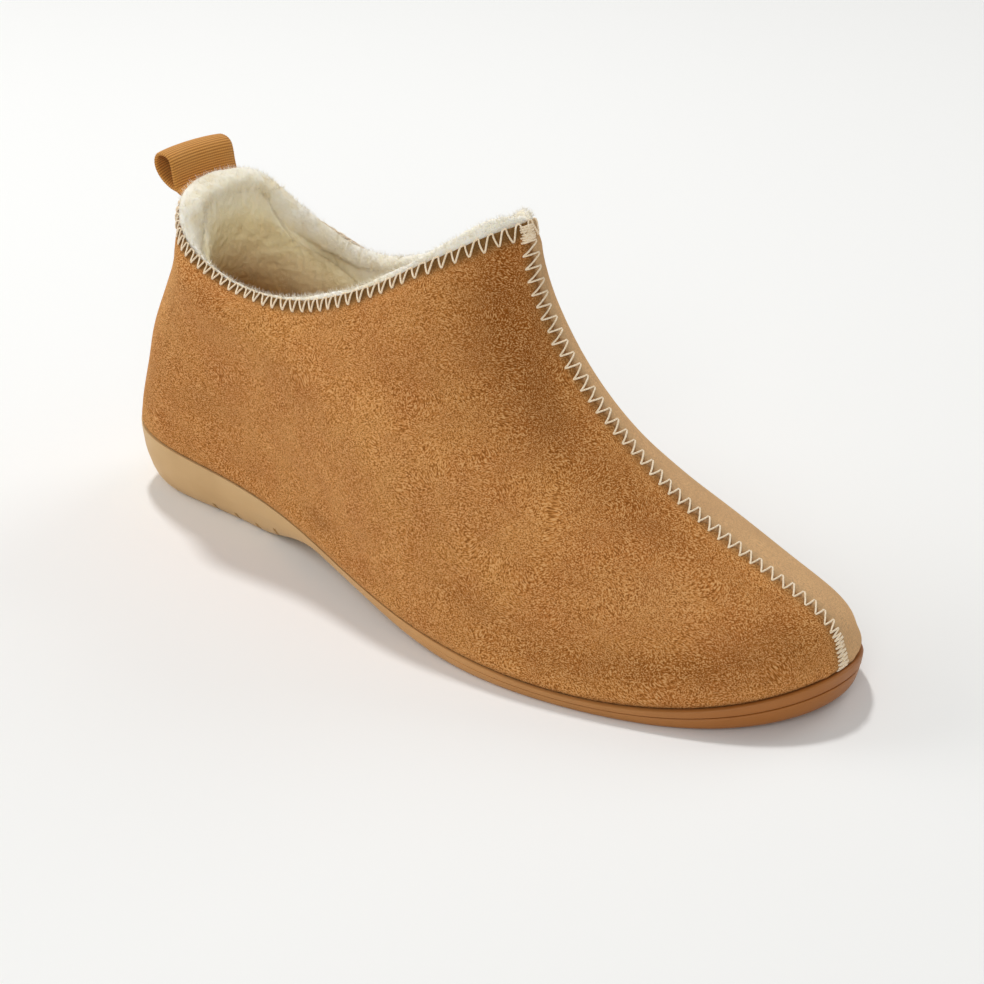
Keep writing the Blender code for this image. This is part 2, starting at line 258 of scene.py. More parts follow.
def last_points(angles, ways):
    """Points on the upper's outer face, in the last's own place."""
    angles, ways = np.broadcast_arrays(np.asarray(angles, float), np.asarray(ways, float))
    sizes = spline(RING_WAYS, RING_SIZES, ways)
    back, front = sizes[:, 0], sizes[:, 1]
    x = 0.5 * (back + front) + 0.5 * (front - back) * np.cos(angles)
    width_terms = sizes[:, 2:7] @ WIDTH_FIT.T
    height_terms = sizes[:, 7:12] @ HEIGHT_FIT.T
    across = sum(width_terms[:, k] * np.sin((k + 1) * angles) for k in range(5))
    height = sum(height_terms[:, k] * np.cos(k * angles) for k in range(5))
    return np.stack((x, centre_line(x) + across, height), axis=-1)


def last_slopes(angles, ways):
    """Rates of change of the outer face around and up the upper."""
    step = 1e-4
    around = (last_points(angles + step, ways) - last_points(angles - step, ways)) / (2 * step)
    low = np.clip(ways - step, 0.0, 1.0)
    high = np.clip(ways + step, 0.0, 1.0)
    upwards = (last_points(angles, high) - last_points(angles, low)) / (high - low)[:, None]
    return around, upwards


def last_normals(angles, ways):
    around, upwards = last_slopes(angles, ways)
    normal = unit(np.cross(around, upwards))
    normal[:, 2] *= smooth_step(LEVEL_WAYS, ways)
    return unit(normal)


def feather_height(x):
    """Height of the feather line at a place along the foot."""
    along = (np.asarray(x) - 0.5 * LAST_LENGTH) / (0.5 * LAST_LENGTH)
    return np.polynomial.chebyshev.chebval(along, HEIGHT_FIT @ FEATHER_HEIGHTS)


def upper_points(angles, ways, depth):
    """Points under the outer face by a depth, in the frame."""
    angles, ways = np.broadcast_arrays(np.asarray(angles, float), np.asarray(ways, float))
    depth = np.broadcast_to(np.asarray(depth, float), angles.shape)
    return last_points(angles, ways) - depth[:, None] * last_normals(angles, ways) + PLACE


def distances(points):
    """Distances along a line of points from its first one."""
    hops = np.linalg.norm(np.diff(points, axis=0), axis=1)
    return np.concatenate(((0.0,), np.cumsum(hops)))


# Places along the centre seam from toe to peak, and around the collar from the peak
SEAM_WAYS = np.linspace(0.0, 1.0, 400)
SEAM_PLACES = distances(last_points(np.zeros(400), SEAM_WAYS))
COLLAR_ANGLES = np.linspace(0.0, TURN, 900)
COLLAR_PLACES = distances(last_points(COLLAR_ANGLES, np.ones(900)))

# Columns: angle in turns, share of the collar's stitch pitch, share of its stitch depth
STITCH_RUN = (
    (0.00, 1.00, 1.00),
    (0.10, 1.10, 1.00),
    (0.25, 1.15, 0.95),
    (0.38, 0.85, 0.80),
    (0.50, 0.80, 0.72),
    (0.62, 0.80, 0.68),
    (0.70, 0.92, 0.70),
    (0.80, 1.10, 0.82),
    (0.90, 1.15, 0.95),
    (1.00, 1.00, 1.00),
)


def collar_angles(places):
    """Angles around the last at places along the collar."""
    return np.interp(places % COLLAR_PLACES[-1], COLLAR_PLACES, COLLAR_ANGLES)


def stitch_share(places, column):
    """A share from the stitch run's table at places along the collar."""
    turns, *shares = np.array(STITCH_RUN).T
    return np.interp(collar_angles(places) / TURN, turns, shares[column])


def collar_starts(looks):
    """Where each of the collar's stitches starts along it, a whole number of them."""
    even = np.linspace(0.0, COLLAR_PLACES[-1], 2001)
    hops = np.diff(even) / (looks.collar_pitch * stitch_share(even[1:], 0))
    run = np.concatenate(((0.0,), np.cumsum(hops)))
    count = round(run[-1])
    return np.interp(np.arange(count + 1) * run[-1] / count, run, even)


def seam_shift(ways):
    """How far the seam's line leans at a way up."""
    return SEAM_LEAN * smooth_step(SEAM_LEAN_WAYS, ways)


def seam_distance(angles, ways):
    """Distance from the centre seam, on its own ring."""
    turned = np.where(angles > math.pi, angles - TURN, angles)
    seam = last_points(np.zeros_like(ways), ways)
    here = last_points(angles, ways)
    gap = np.linalg.norm(here - seam, axis=1) * np.sign(turned) + seam_shift(ways)
    return np.where(np.abs(turned) < 1.2, np.abs(gap), 1.0)


def collar_distance(angles, ways):
    """Distance down from the collar's edge."""
    edge = last_points(angles, np.ones_like(ways))
    return np.linalg.norm(last_points(angles, ways) - edge, axis=1)


def soft_noise(points, scale, seed):
    """Smooth noise from minus one to one, with lumps about as large as the scale."""
    offset = Vector((seed * 7.31, seed * 3.17, seed * 5.93))
    return np.array([noise.noise(Vector(point) / scale + offset) for point in points])


# Meshes

def mapped_grid(columns, rows, place):
    """A grid moved to place(u, v), with u and v from zero to one, and welded where it meets."""
    bm = bmesh.new()
    bmesh.ops.create_grid(bm, x_segments=columns, y_segments=rows, size=1.0)
    flat = np.array([vert.co[:2] for vert in bm.verts])
    flat = (flat - flat.min(axis=0)) / (flat.max(axis=0) - flat.min(axis=0))
    u = np.rint(flat[:, 0] * columns) / columns
    v = np.rint(flat[:, 1] * rows) / rows
    for vert, point in zip(bm.verts, place(u, v)):
        vert.co = point
    return bm, u, v


def paint(bm, name, values):
    """Keep one number a vertex, for the piece's material to read."""
    layer = bm.verts.layers.float.new(name)
    for vert, value in zip(bm.verts, values):
        vert[layer] = float(value)


def new_object(name, data):
    """An object for a mesh, curve, lamp or camera, linked into the scene."""
    made = bpy.data.objects.new(name, data)
    bpy.context.scene.collection.objects.link(made)
    return made


def kept_mesh(name, bm):
    """The mesh of a bmesh that is done with."""
    mesh = bpy.data.meshes.new(name)
    bm.to_mesh(mesh)
    bm.free()
    return mesh


def shaped_mesh(piece):
    """The mesh that a piece's bevel or modifier makes."""
    bpy.context.view_layer.update()
    shaped = piece.evaluated_get(bpy.context.evaluated_depsgraph_get())
    return bpy.data.meshes.new_from_object(shaped)


def finish_piece(name, bm, material, node=None):
    """Weld a bmesh, make it a smooth piece that rides on the root, and give it its slot."""
    bmesh.ops.remove_doubles(bm, verts=bm.verts, dist=1e-6)
    bmesh.ops.recalc_face_normals(bm, faces=bm.faces)
    return settle(name, kept_mesh(name, bm), material, node)


def settle(name, mesh, material, node=None):
    """Make a mesh a smooth piece that rides on the root."""
    mesh.materials.clear()
    mesh.materials.append(material)
    mesh.shade_smooth()
    piece = new_object(name, mesh)
    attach(piece, "root")
    if node:
        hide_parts(node)
    return piece


# Materials

def colour(code):
    """An sRGB hex colour as linear numbers."""
    parts = [int(code[i:i + 2], 16) / 255.0 for i in (1, 3, 5)]
    linear = [p / 12.92 if p <= 0.04045 else ((p + 0.055) / 1.055) ** 2.4 for p in parts]
    return (*linear, 1.0)


def add(tree, kind, inputs=None, **settings):
    """Add a node; each input takes a value, or the socket that feeds it."""
    made = tree.nodes.new(kind)
    for name, value in settings.items():
        setattr(made, name, value)
    for key, value in (inputs or {}).items():
        if isinstance(value, bpy.types.NodeSocket):
            tree.links.new(value, made.inputs[key])
        else:
            made.inputs[key].default_value = value
    return made


def new_material(name, constants):
    """A material, with the constants of its shader set by their sockets' names."""
    made = bpy.data.materials.new(name)
    made.use_nodes = True
    for socket, value in constants.items():
        made.node_tree.nodes["Principled BSDF"].inputs[socket].default_value = value
    return made, made.node_tree


def layered(tree, base, layers):
    """A colour with others laid over it. Columns: value, the low and high that it runs
    between, the share laid on at high, colour."""
    for value, low, high, most, code in layers:
        share = add(tree, "ShaderNodeMapRange", {0: value, 1: low, 2: high, 3: 0.0, 4: most},
                    clamp=True).outputs[0]
        base = add(tree, "ShaderNodeMix", {0: share, 6: base, 7: colour(code)},
                   data_type="RGBA", clamp_factor=True).outputs[2]
    return base


def finish_material(made, base, height, strength, distance):
    """Give a material its colour and its fine relief."""
    tree = made.node_tree
    shader = tree.nodes["Principled BSDF"]
    relief = add(tree, "ShaderNodeBump", {
        "Strength": strength, "Distance": distance, "Height": height,
    }).outputs[0]
    tree.links.new(base, shader.inputs["Base Color"])
    tree.links.new(relief, shader.inputs["Normal"])
    return made


def microsuede(looks):
    """Microsuede, brushed: a short nap that lies in streaks and shows lighter and darker
    patches where its nap lies flat or stands up, with painted shade and painted light laid into
    those patches, painted shade where the thread presses it and along its foot, a painted sheen
    beyond the seam, a soft sheen and no gloss."""
    made, tree = new_material("microsuede_brushed", {
        "Roughness": 0.95,
        "Specular IOR Level": 0.12,
        "Sheen Weight": 0.34,
        "Sheen Roughness": 0.42,
        "Sheen Tint": colour("#f0bf80"),
    })
    places = add(tree, "ShaderNodeTexCoord").outputs["Object"]
    swirl = add(tree, "ShaderNodeTexNoise", {"Vector": places, "Scale": 70.0, "Detail": 1.0})
    centred = add(tree, "ShaderNodeVectorMath", {0: swirl.outputs["Color"], 1: (0.5, 0.5, 0.5)},
                  operation="SUBTRACT")
    drift = add(tree, "ShaderNodeVectorMath", {0: centred.outputs[0], "Scale": 0.010},
                operation="SCALE")
    bent = add(tree, "ShaderNodeVectorMath", {0: places, 1: drift.outputs[0]}, operation="ADD")
    combed = add(tree, "ShaderNodeMapping", {
        "Vector": bent.outputs[0],
        "Rotation": (0.0, math.radians(35.0), 0.0),
        "Scale": (0.62, 1.0, 1.0),
    })
    # Nap tufts about 0.35 mm wide and 0.55 mm long
    nap = add(tree, "ShaderNodeTexNoise", {
        "Vector": combed.outputs[0], "Scale": 2900.0, "Detail": 1.5, "Roughness": 0.6,
    }).outputs["Fac"]
    # Stroked patches about 30 mm and 8 mm across
    patches = add(tree, "ShaderNodeTexNoise", {
        "Vector": places, "Scale": 34.0, "Detail": 2.0, "Roughness": 0.55,
    }).outputs["Fac"]
    strokes = add(tree, "ShaderNodeTexNoise", {
        "Vector": bent.outputs[0], "Scale": 130.0, "Detail": 2.0,
    }).outputs["Fac"]
    stroked_and_shading, pressed_and_shade, far = (
        add(tree, "ShaderNodeAttribute", attribute_name=name).outputs["Fac"]
        for name in ("stroked_and_shading", "pressed_and_shade", "against_nap_sheen")
    )
    base = layered(tree, colour(looks.suede_dark), (
        (patches, 0.30, 0.70, 1.00, looks.suede_light),
        (strokes, 0.35, 0.70, 0.30, looks.suede_light),
        (strokes, 0.52, 0.30, 0.30, looks.suede_dark),
        # Patches of stroked and raised nap, partly painted shade and painted light
        (stroked_and_shading, 0.0, 1.0, 0.88, looks.suede_stroked_and_shade),
        (stroked_and_shading, 0.0, -1.0, 0.55, "#d29a5c"),
        (nap, 0.50, 0.63, 0.66, "#e9b87c"),
        (nap, 0.50, 0.36, 0.78, "#74400c"),
        # Pressed nap with painted shade under the stitches, and painted shade along the foot
        (pressed_and_shade, 0.0, 1.0, 0.82, "#664c28"),
        # Painted sheen, paler, where the nap lies the other way beyond the seam
        (far, 0.0, 1.0, 0.55, "#dcbd93"),
    ))
    return finish_material(made, base, nap, 0.7, 0.4 * MM)


def pile_fleece(looks, name):
    """Polyester pile fleece, carded and uncut: soft matt curls, near white at the tips,
    yellower at the roots and browner where the shoe shades them."""
    made, tree = new_material(name, {
        "Roughness": 1.0,
        "Specular IOR Level": 0.1,
        "Subsurface Weight": 0.25,
        "Subsurface Radius": (1.0, 0.85, 0.6),
        "Subsurface Scale": 4.0 * MM,
        "Sheen Weight": 0.12,
        "Sheen Roughness": 0.6,
        "Sheen Tint": colour("#fff6dd"),
    })
    places = add(tree, "ShaderNodeTexCoord").outputs["Object"]
    # Locks about 5 mm across, curls about 1 mm and yellower blotches about 13 mm
    locks, curls, blotches = (
        add(tree, "ShaderNodeTexNoise", {
            "Vector": places, "Scale": scale, "Detail": detail, "Distortion": distortion,
        }).outputs["Fac"]
        for scale, detail, distortion in ((190.0, 2.0, 0.6), (950.0, 3.0, 1.2), (75.0, 1.0, 0.0))
    )
    tip, inside = (
        add(tree, "ShaderNodeAttribute", attribute_name=name).outputs["Fac"]
        for name in ("tip", "inside")
    )
    base = layered(tree, colour(looks.fleece_root), (
        (tip, 0.0, 0.7, 1.0, looks.fleece_tip),
        (locks, 0.60, 0.36, 0.25, looks.fleece_root),
        (curls, 0.50, 0.36, 0.22, looks.fleece_root),
        # Painted shade inside the shoe, warm under the rim and browner deep down
        (inside, 0.0, 0.45, 1.0, "#ffefc4"),
        (blotches, 0.45, 0.65, 0.22, "#ecd49a"),
        (inside, 0.62, 1.22, 0.85, looks.fleece_inside_shade),
    ))
    lumps = add(tree, "ShaderNodeMath", {0: locks, 1: 1.5}, operation="MULTIPLY").outputs[0]
    both = add(tree, "ShaderNodeMath", {0: lumps, 1: curls}, operation="ADD").outputs[0]
    return finish_material(made, base, both, 0.35, 1.0 * MM)


def moulded_rubber(looks):
    """Thermoplastic rubber, injection moulded: an even satin skin with faint flow marks,
    paler at the heel, partly its own thick milky wall and partly painted bounce light, and
    darker round the toe with painted shade."""
    constants = {"IOR": 1.5, "Specular IOR Level": 0.35}
    made, tree = new_material("thermoplastic_rubber_moulded", constants)
    places = add(tree, "ShaderNodeTexCoord").outputs["Object"]
    along = add(tree, "ShaderNodeSeparateXYZ", {0: places}).outputs["X"]
    # Flow marks about 22 mm across and a skin with a grain of 0.4 mm
    flow, skin = (
        add(tree, "ShaderNodeTexNoise", {
            "Vector": places, "Scale": scale, "Detail": detail,
        }).outputs["Fac"]
        for scale, detail in ((45.0, 3.0), (2600.0, 1.0))
    )
    # Paler at the heel with painted bounce light, darker round the toe with painted shade
    base = layered(tree, colour(looks.rubber_heel_and_bounce_light), (
        (along, -0.060, 0.020, 1.0, looks.rubber_ball),
        (along, 0.020, 0.115, 1.0, looks.rubber_toe_and_shade),
        (flow, 0.45, 0.75, 0.15, "#8a5a30"),
    ))
    rough = add(tree, "ShaderNodeMapRange", {0: flow, 1: 0.3, 2: 0.7, 3: 0.42, 4: 0.58},
                clamp=True).outputs[0]
    tree.links.new(rough, tree.nodes["Principled BSDF"].inputs["Roughness"])
    return finish_material(made, base, skin, 0.25, 0.1 * MM)


def sewing_thread(looks):
    """Polyester sewing thread, spun: matt cream with a fine twist."""
    constants = {"Roughness": 0.7, "Sheen Weight": 0.2}
    made, tree = new_material("polyester_thread_spun", constants)
    places = add(tree, "ShaderNodeTexCoord").outputs["Object"]
    # A twist about 0.3 mm long
    twist = add(tree, "ShaderNodeTexNoise", {
        "Vector": places, "Scale": 3500.0, "Detail": 1.0,
    }).outputs["Fac"]
    base = layered(tree, colour("#e8cca0"), ((twist, 0.35, 0.65, 1.0, looks.thread_colour),))
    return finish_material(made, base, twist, 0.4, 0.1 * MM)


def grosgrain(looks):
    """Polyester grosgrain ribbon, woven: thick cross ribs with fine warp threads over them,
    a painted highlight on the ribs' tops and painted shade in the furrows between them."""
    constants = {"Roughness": 0.7, "Specular IOR Level": 0.3, "Sheen Weight": 0.08}
    made, tree = new_material("polyester_grosgrain_woven", constants)
    places = add(tree, "ShaderNodeTexCoord").outputs["Object"]
    ribs = add(tree, "ShaderNodeAttribute", attribute_name="rib").outputs["Fac"]
    # Warp threads 0.4 mm apart, side by side across the ribbon
    warp = add(tree, "ShaderNodeTexWave", {"Vector": places, "Scale": 400.0, "Distortion": 0.4},
               bands_direction="Y").outputs["Fac"]
    wear = add(tree, "ShaderNodeTexNoise", {
        "Vector": places, "Scale": 160.0, "Detail": 2.0,
    }).outputs["Fac"]
    # Painted shade in the furrows between the ribs, painted highlight on their tops
    base = layered(tree, colour("#a0611a"), (
        (ribs, 0.0, 1.0, 1.0, looks.ribbon_colour),
        (wear, 0.45, 0.75, 0.30, "#cf9a55"),
        (warp, 0.0, 1.0, 0.18, "#84501f"),
    ))
    return finish_material(made, base, warp, 0.35, 0.1 * MM)


# Suede upper

SUEDE_COLUMNS = 400
SUEDE_OUTER_ROWS = 168
SUEDE_INNER_ROWS = 12
SUEDE_RIM_ROWS = 4

# Relief of the suede: how deep or high each fold is, and how far it reaches
SEAM_FOLD = 0.75 * MM
SEAM_FOLD_REACH = 0.8 * MM
SEAM_GATHER = 0.15 * MM
SEAM_RIDGE = 0.30 * MM
SEAM_RIDGE_REACH = 1.4 * MM
HEM_FOLD = 0.40 * MM
HEM_GATHER = 0.24 * MM
HEM_WAVE = 0.35 * MM
HEM_WAVE_REACH = 12.0 * MM
HEM_WAVE_LENGTH = 31.0 * MM
HEM_RIDGE = 0.25 * MM
HEM_RIDGE_REACH = 2.5 * MM
HEEL_SWELL = 0.3 * MM
FORE_SWELL = 1.0 * MM
ROLL_UNDER = 0.3 * MM
FOOT_DROP = 0.25 * MM
WAVER = 0.45 * MM
WAVER_LENGTH = 34.0 * MM

# The same in shares of the stitch's width or depth
SEAM_GATHER_REACH = 0.7
SEAM_RIDGE_PLACE = 1.2
HEM_RIDGE_PLACE = 1.6
SEAM_PRESS_REACH = 0.6
HEM_PRESS_REACH = 1.05

# The same along the lower edge, in ways
SWELL_WAY = 0.030
SWELL_REACH = 0.035
ROLL_REACH = 0.006
FOOT_REACH = 0.008
FOOT_SHADE_REACH = 0.010
WAVER_FOOT = (0.0, 0.12)
WAVER_TOP = (1.0, 0.9)

# Cosines of the angles between which the heel's swell grows to the forefoot's
SWELL_GROWTH = (-0.9, -0.2)

# How dark the pressed nap with its painted shade is beside the seam, and the painted shade
# at the foot
SEAM_PRESS = 0.6
FOOT_SHADE = 0.3

# Where the nap turns across the seam, with a painted sheen beyond it, and the turns over
# which it evens out at the heel
NAP_TURN = (-0.5 * MM, 1.0 * MM)
NAP_EVENS = (0.40, 0.14)

# Columns: angle in turns, way up, half-length around in turns, half-height in ways, tilt in
# ways a turn, and depth in millimetres; a trough is positive and a ridge negative
CREASES = (
    (0.565, 0.62, 0.030, 0.22, 0.0, 0.9),
    (0.610, 0.45, 0.035, 0.18, 1.5, 0.5),
    (0.640, 0.75, 0.060, 0.07, 0.6, -0.5),
    (0.700, 0.20, 0.080, 0.08, -0.8, 0.6),
    (0.760, 0.42, 0.090, 0.07, -1.6, 0.5),
    (0.830, 0.30, 0.060, 0.06, -1.2, -0.4),
    (0.885, 0.52, 0.040, 0.09, -1.0, 0.5),
    (0.930, 0.34, 0.045, 0.05, -0.5, 0.4),
    (0.120, 0.50, 0.045, 0.08, 1.0, 0.5),
    (0.200, 0.36, 0.080, 0.07, 1.4, 0.5),
    (0.290, 0.22, 0.080, 0.08, 0.8, 0.5),
    (0.380, 0.60, 0.050, 0.10, -0.8, 0.6),
    (0.440, 0.50, 0.030, 0.20, 0.0, 0.6),
)

# Columns as for the creases, with a shade in place of the depth: stroked dark is positive
# and raised light is negative; the dark patches are partly painted shade and the light ones
# partly painted light
STROKES_AND_SHADING = (
    (0.938, 0.92, 0.042, 0.13, 0.0, 1.00),
    (0.925, 0.72, 0.035, 0.16, -1.0, 0.55),
    (0.945, 0.52, 0.030, 0.14, 0.0, 0.45),
    (0.962, 0.20, 0.032, 0.10, 0.0, 0.60),
    (0.905, 0.12, 0.045, 0.06, 0.0, 0.55),
    (0.850, 0.09, 0.050, 0.05, 0.0, 0.45),
    (0.713, 0.095, 0.012, 0.035, 0.0, 0.80),
    (0.800, 0.19, 0.016, 0.05, 0.0, 0.40),
    (0.630, 0.28, 0.020, 0.08, 0.0, 0.30),
    (0.905, 0.35, 0.035, 0.07, 1.5, -0.55),
    (0.805, 0.55, 0.045, 0.14, 0.0, -0.35),
    (0.600, 0.60, 0.018, 0.30, 0.0, -0.40),
    (0.060, 0.90, 0.040, 0.14, 0.0, 0.60),
    (0.180, 0.14, 0.050, 0.06, 0.0, 0.45),
    (0.120, 0.45, 0.050, 0.12, 0.0, -0.40),
    (0.320, 0.60, 0.060, 0.15, 0.0, 0.30),
    (0.430, 0.40, 0.040, 0.14, 0.0, 0.35),
)


def placed(table, angles, ways):
    """Sum of soft spots placed on the upper."""
    total = np.zeros_like(ways)
    turns = angles / TURN
    for turn, way, length, height, tilt, strength in table:
        along = (turns - turn + 0.5) % 1.0 - 0.5
        up = ways - way - tilt * along
        total += strength * np.exp(-(along / length) ** 2 - (up / height) ** 2)
    return total


def suede_depth(angles, ways, looks):
    """Depth of the suede's face under the last's surface, with seam, edge and creases."""
    beside = seam_distance(angles, ways)
    below = collar_distance(angles, ways)
    seam_at = np.interp(ways, SEAM_WAYS, SEAM_PLACES)
    collar_at = np.interp(angles, COLLAR_ANGLES, COLLAR_PLACES)
    stitched = fade(beside, SEAM_GATHER_REACH * looks.stitch_width)
    depth = placed(CREASES, angles, ways) * MM
    depth += SEAM_FOLD * fade(beside, SEAM_FOLD_REACH)
    depth += SEAM_GATHER * stitched * np.cos(TURN * seam_at / looks.seam_pitch)
    ridge = SEAM_RIDGE_PLACE * looks.stitch_width
    depth -= SEAM_RIDGE * fade(beside - ridge, SEAM_RIDGE_REACH)
    hemmed = fade(below, looks.stitch_depth)
    depth += HEM_FOLD * hemmed
    starts = collar_starts(looks)
    stitch = np.interp(collar_at, starts, np.arange(len(starts)))
    depth += HEM_GATHER * hemmed * np.cos(TURN * stitch)
    waves = np.sin(TURN * collar_at / HEM_WAVE_LENGTH)
    depth += HEM_WAVE * fade(below, HEM_WAVE_REACH) * waves
    ridge = HEM_RIDGE_PLACE * looks.stitch_depth
    depth -= HEM_RIDGE * fade(below - ridge, HEM_RIDGE_REACH)
    # The lower edge swells over the sole's rim and rolls under just above it
    fore = smooth_step(SWELL_GROWTH, np.cos(angles))
    swell = HEEL_SWELL + FORE_SWELL * fore
    depth -= swell * fade(ways - SWELL_WAY, SWELL_REACH)
    depth += ROLL_UNDER * fade(ways, ROLL_REACH)
    return depth


def build_suede_upper(looks):
    """The microsuede shell: outer face, folded edge at the collar, and its back."""
    thick = looks.suede_thickness
    rows = SUEDE_OUTER_ROWS + SUEDE_RIM_ROWS + SUEDE_INNER_ROWS

    def place(u, v):
        angles = u * TURN
        row = np.rint(v * rows)
        outer = np.clip(row / SUEDE_OUTER_ROWS, 0.0, 1.0)
        rim = np.clip((row - SUEDE_OUTER_ROWS) / SUEDE_RIM_ROWS, 0.0, 1.0)
        inner = np.clip((row - SUEDE_OUTER_ROWS - SUEDE_RIM_ROWS) / SUEDE_INNER_ROWS, 0.0, 1.0)
        ways = np.where(row <= SUEDE_OUTER_ROWS, outer, 1.0 - inner)
        back = 0.5 * thick * (1.0 - np.cos(math.pi * rim))
        depth = suede_depth(angles, ways, looks) + back
        joined = row == rows
        depth = np.where(joined, suede_depth(angles, np.zeros_like(ways), looks), depth)
        points = upper_points(angles, ways, depth)
        points[:, 2] += 0.5 * thick * np.sin(math.pi * rim)
        points[:, 2] -= FOOT_DROP * fade(ways, FOOT_REACH)
        waver = soft_noise(points, WAVER_LENGTH, 1) * WAVER
        waver *= smooth_step(WAVER_FOOT, ways) * smooth_step(WAVER_TOP, ways)
        return points + waver[:, None] * last_normals(angles, ways)

    bm, u, v = mapped_grid(SUEDE_COLUMNS, rows, place)
    angles = u * TURN
    ways = np.clip(v * rows / SUEDE_OUTER_ROWS, 0.0, 1.0)
    beside = seam_distance(angles, ways)
    below = collar_distance(angles, ways)
    # The thread presses the nap flat beside the seam and under the collar's edge, where painted
    # shade darkens it as well; the foot is painted darker with shade where it meets the sole
    pressed_and_shade = SEAM_PRESS * fade(beside, SEAM_PRESS_REACH * looks.stitch_width, 4)
    hem = looks.stitch_depth * stitch_share(np.interp(angles, COLLAR_ANGLES, COLLAR_PLACES), 1)
    pressed_and_shade = np.maximum(pressed_and_shade, fade(below, HEM_PRESS_REACH * hem, 4))
    pressed_and_shade = np.maximum(pressed_and_shade, FOOT_SHADE * fade(ways, FOOT_SHADE_REACH))
    paint(bm, "pressed_and_shade", pressed_and_shade)
    # Stroked and raised patches of nap, partly painted shade and painted light
    paint(bm, "stroked_and_shading", placed(STROKES_AND_SHADING, angles, ways))
    # Beyond the seam the nap lies the other way and is painted paler as a sheen, which evens out
    # towards the heel
    places = last_points(angles, ways)
    across = places[:, 1] - centre_line(places[:, 0])
    far = smooth_step(NAP_TURN, across + seam_shift(ways))
    from_seam = np.minimum(u, 1.0 - u)
    paint(bm, "against_nap_sheen", far * smooth_step(NAP_EVENS, from_seam))
    finish_piece("suede_upper", bm, microsuede(looks), "upper")


# Fleece lining

LINING_COLUMNS = 620
LINING_BACK_ROWS = 10
LINING_RIM_ROWS = 14
LINING_FACE_ROWS = 118
LINING_ROWS = LINING_BACK_ROWS + LINING_RIM_ROWS + LINING_FACE_ROWS
LINING_FOOT = 0.045

# Depth of the fleece's face where the shoe is wider than its collar, and how far the pile
# leans out at the back of the heel
FLEECE_FILL = 10.8 * MM
FLEECE_LEAN = 1.2 * MM

# Ways over which the fill starts under the collar and ends above the foot, the least share
# of the fleece's depth that counts in it, and the shares of depth between which it leans
FILL_TOP = (1.0, 0.90)
FILL_FOOT = (0.25, 0.50)
FILL_LEAST = 0.75
LEAN_GROWTH = (1.0, 1.3)

# Room between the suede's back and the fleece's
LINING_GAP = 0.2 * MM

# Where the shade inside the shoe starts below the collar, how far down it deepens, and how
# much of it lies on the rim's inner side
SHADE_START = 1.5 * MM
SHADE_REACH = 30.0 * MM
RIM_SHADE = 0.22

# Rows: the pile's swells, curls and finest curls. Columns: length and height in millimetres,
# and how much one whitens
LUMPS = (
    (7.0, 0.70, 0.30),
    (3.0, 0.38, 0.25),
    (1.5, 0.22, 0.20),
)

# How white the body is between lumps, and the turns over the rim where the lumps begin
TIP_LEVEL = 0.45
PROUD_TURNS = (0.1, 0.6)

# Columns: angle in turns, share of the fleece's rise, share of its depth
FLEECE_RUN = (
    (0.00, 0.40, 0.50),
    (0.03, 0.80, 0.50),
    (0.07, 1.90, 0.52),
    (0.13, 2.00, 0.60),
    (0.20, 1.40, 0.66),
    (0.27, 1.20, 0.70),
    (0.34, 1.75, 0.90),
    (0.42, 2.20, 1.25),
    (0.50, 2.10, 1.35),
    (0.58, 1.80, 1.30),
    (0.65, 1.20, 1.10),
    (0.72, 0.90, 0.95),
    (0.80, 1.20, 0.85),
    (0.87, 2.10, 0.70),
    (0.93, 2.20, 0.58),
    (0.97, 0.95, 0.52),
    (1.00, 0.40, 0.50),
)


def lining_points(angles, share, looks):
    """Points around the lining's section: up its back, over its rim and down its face."""
    row = share * LINING_ROWS
    climb = np.clip(row / LINING_BACK_ROWS, 0.0, 1.0)
    turn = np.clip((row - LINING_BACK_ROWS) / LINING_RIM_ROWS, 0.0, 1.0)
    fall = np.clip((row - LINING_BACK_ROWS - LINING_RIM_ROWS) / LINING_FACE_ROWS, 0.0, 1.0)
    ways = np.where(row <= LINING_BACK_ROWS, climb, 1.0 - fall)
    ways = LINING_FOOT + (1.0 - LINING_FOOT) * ways
    run = np.array(FLEECE_RUN)
    rise, full = spline(run[:, 0], run[:, 1:], angles / TURN).T
    start = looks.suede_thickness + LINING_GAP
    # The pile fills the room where the shoe widens under the collar
    filled = smooth_step(FILL_TOP, ways) * smooth_step(FILL_FOOT, ways)
    room = FLEECE_FILL - looks.fleece_depth * np.maximum(full, FILL_LEAST)
    deep = looks.fleece_depth * full + room * filled
    depth = start + 0.5 * (deep - start) * (1.0 - np.cos(math.pi * turn))
    # At the back of the heel the pile leans out over the suede's edge
    depth -= FLEECE_LEAN * smooth_step(LEAN_GROWTH, full) * np.sin(math.pi * turn) ** 2
    points = upper_points(angles, ways, depth)
    points[:, 2] += looks.fleece_rise * rise * np.sin(math.pi * turn) ** 0.7
    return points, ways, turn


def inside_shade_share(angles, ways):
    """How much painted shade a place takes from how deep it lies inside the shoe: nothing at the
    collar, one at the foot.
    """
    return np.clip((collar_distance(angles, ways) - SHADE_START) / SHADE_REACH, 0.0, 1.0)


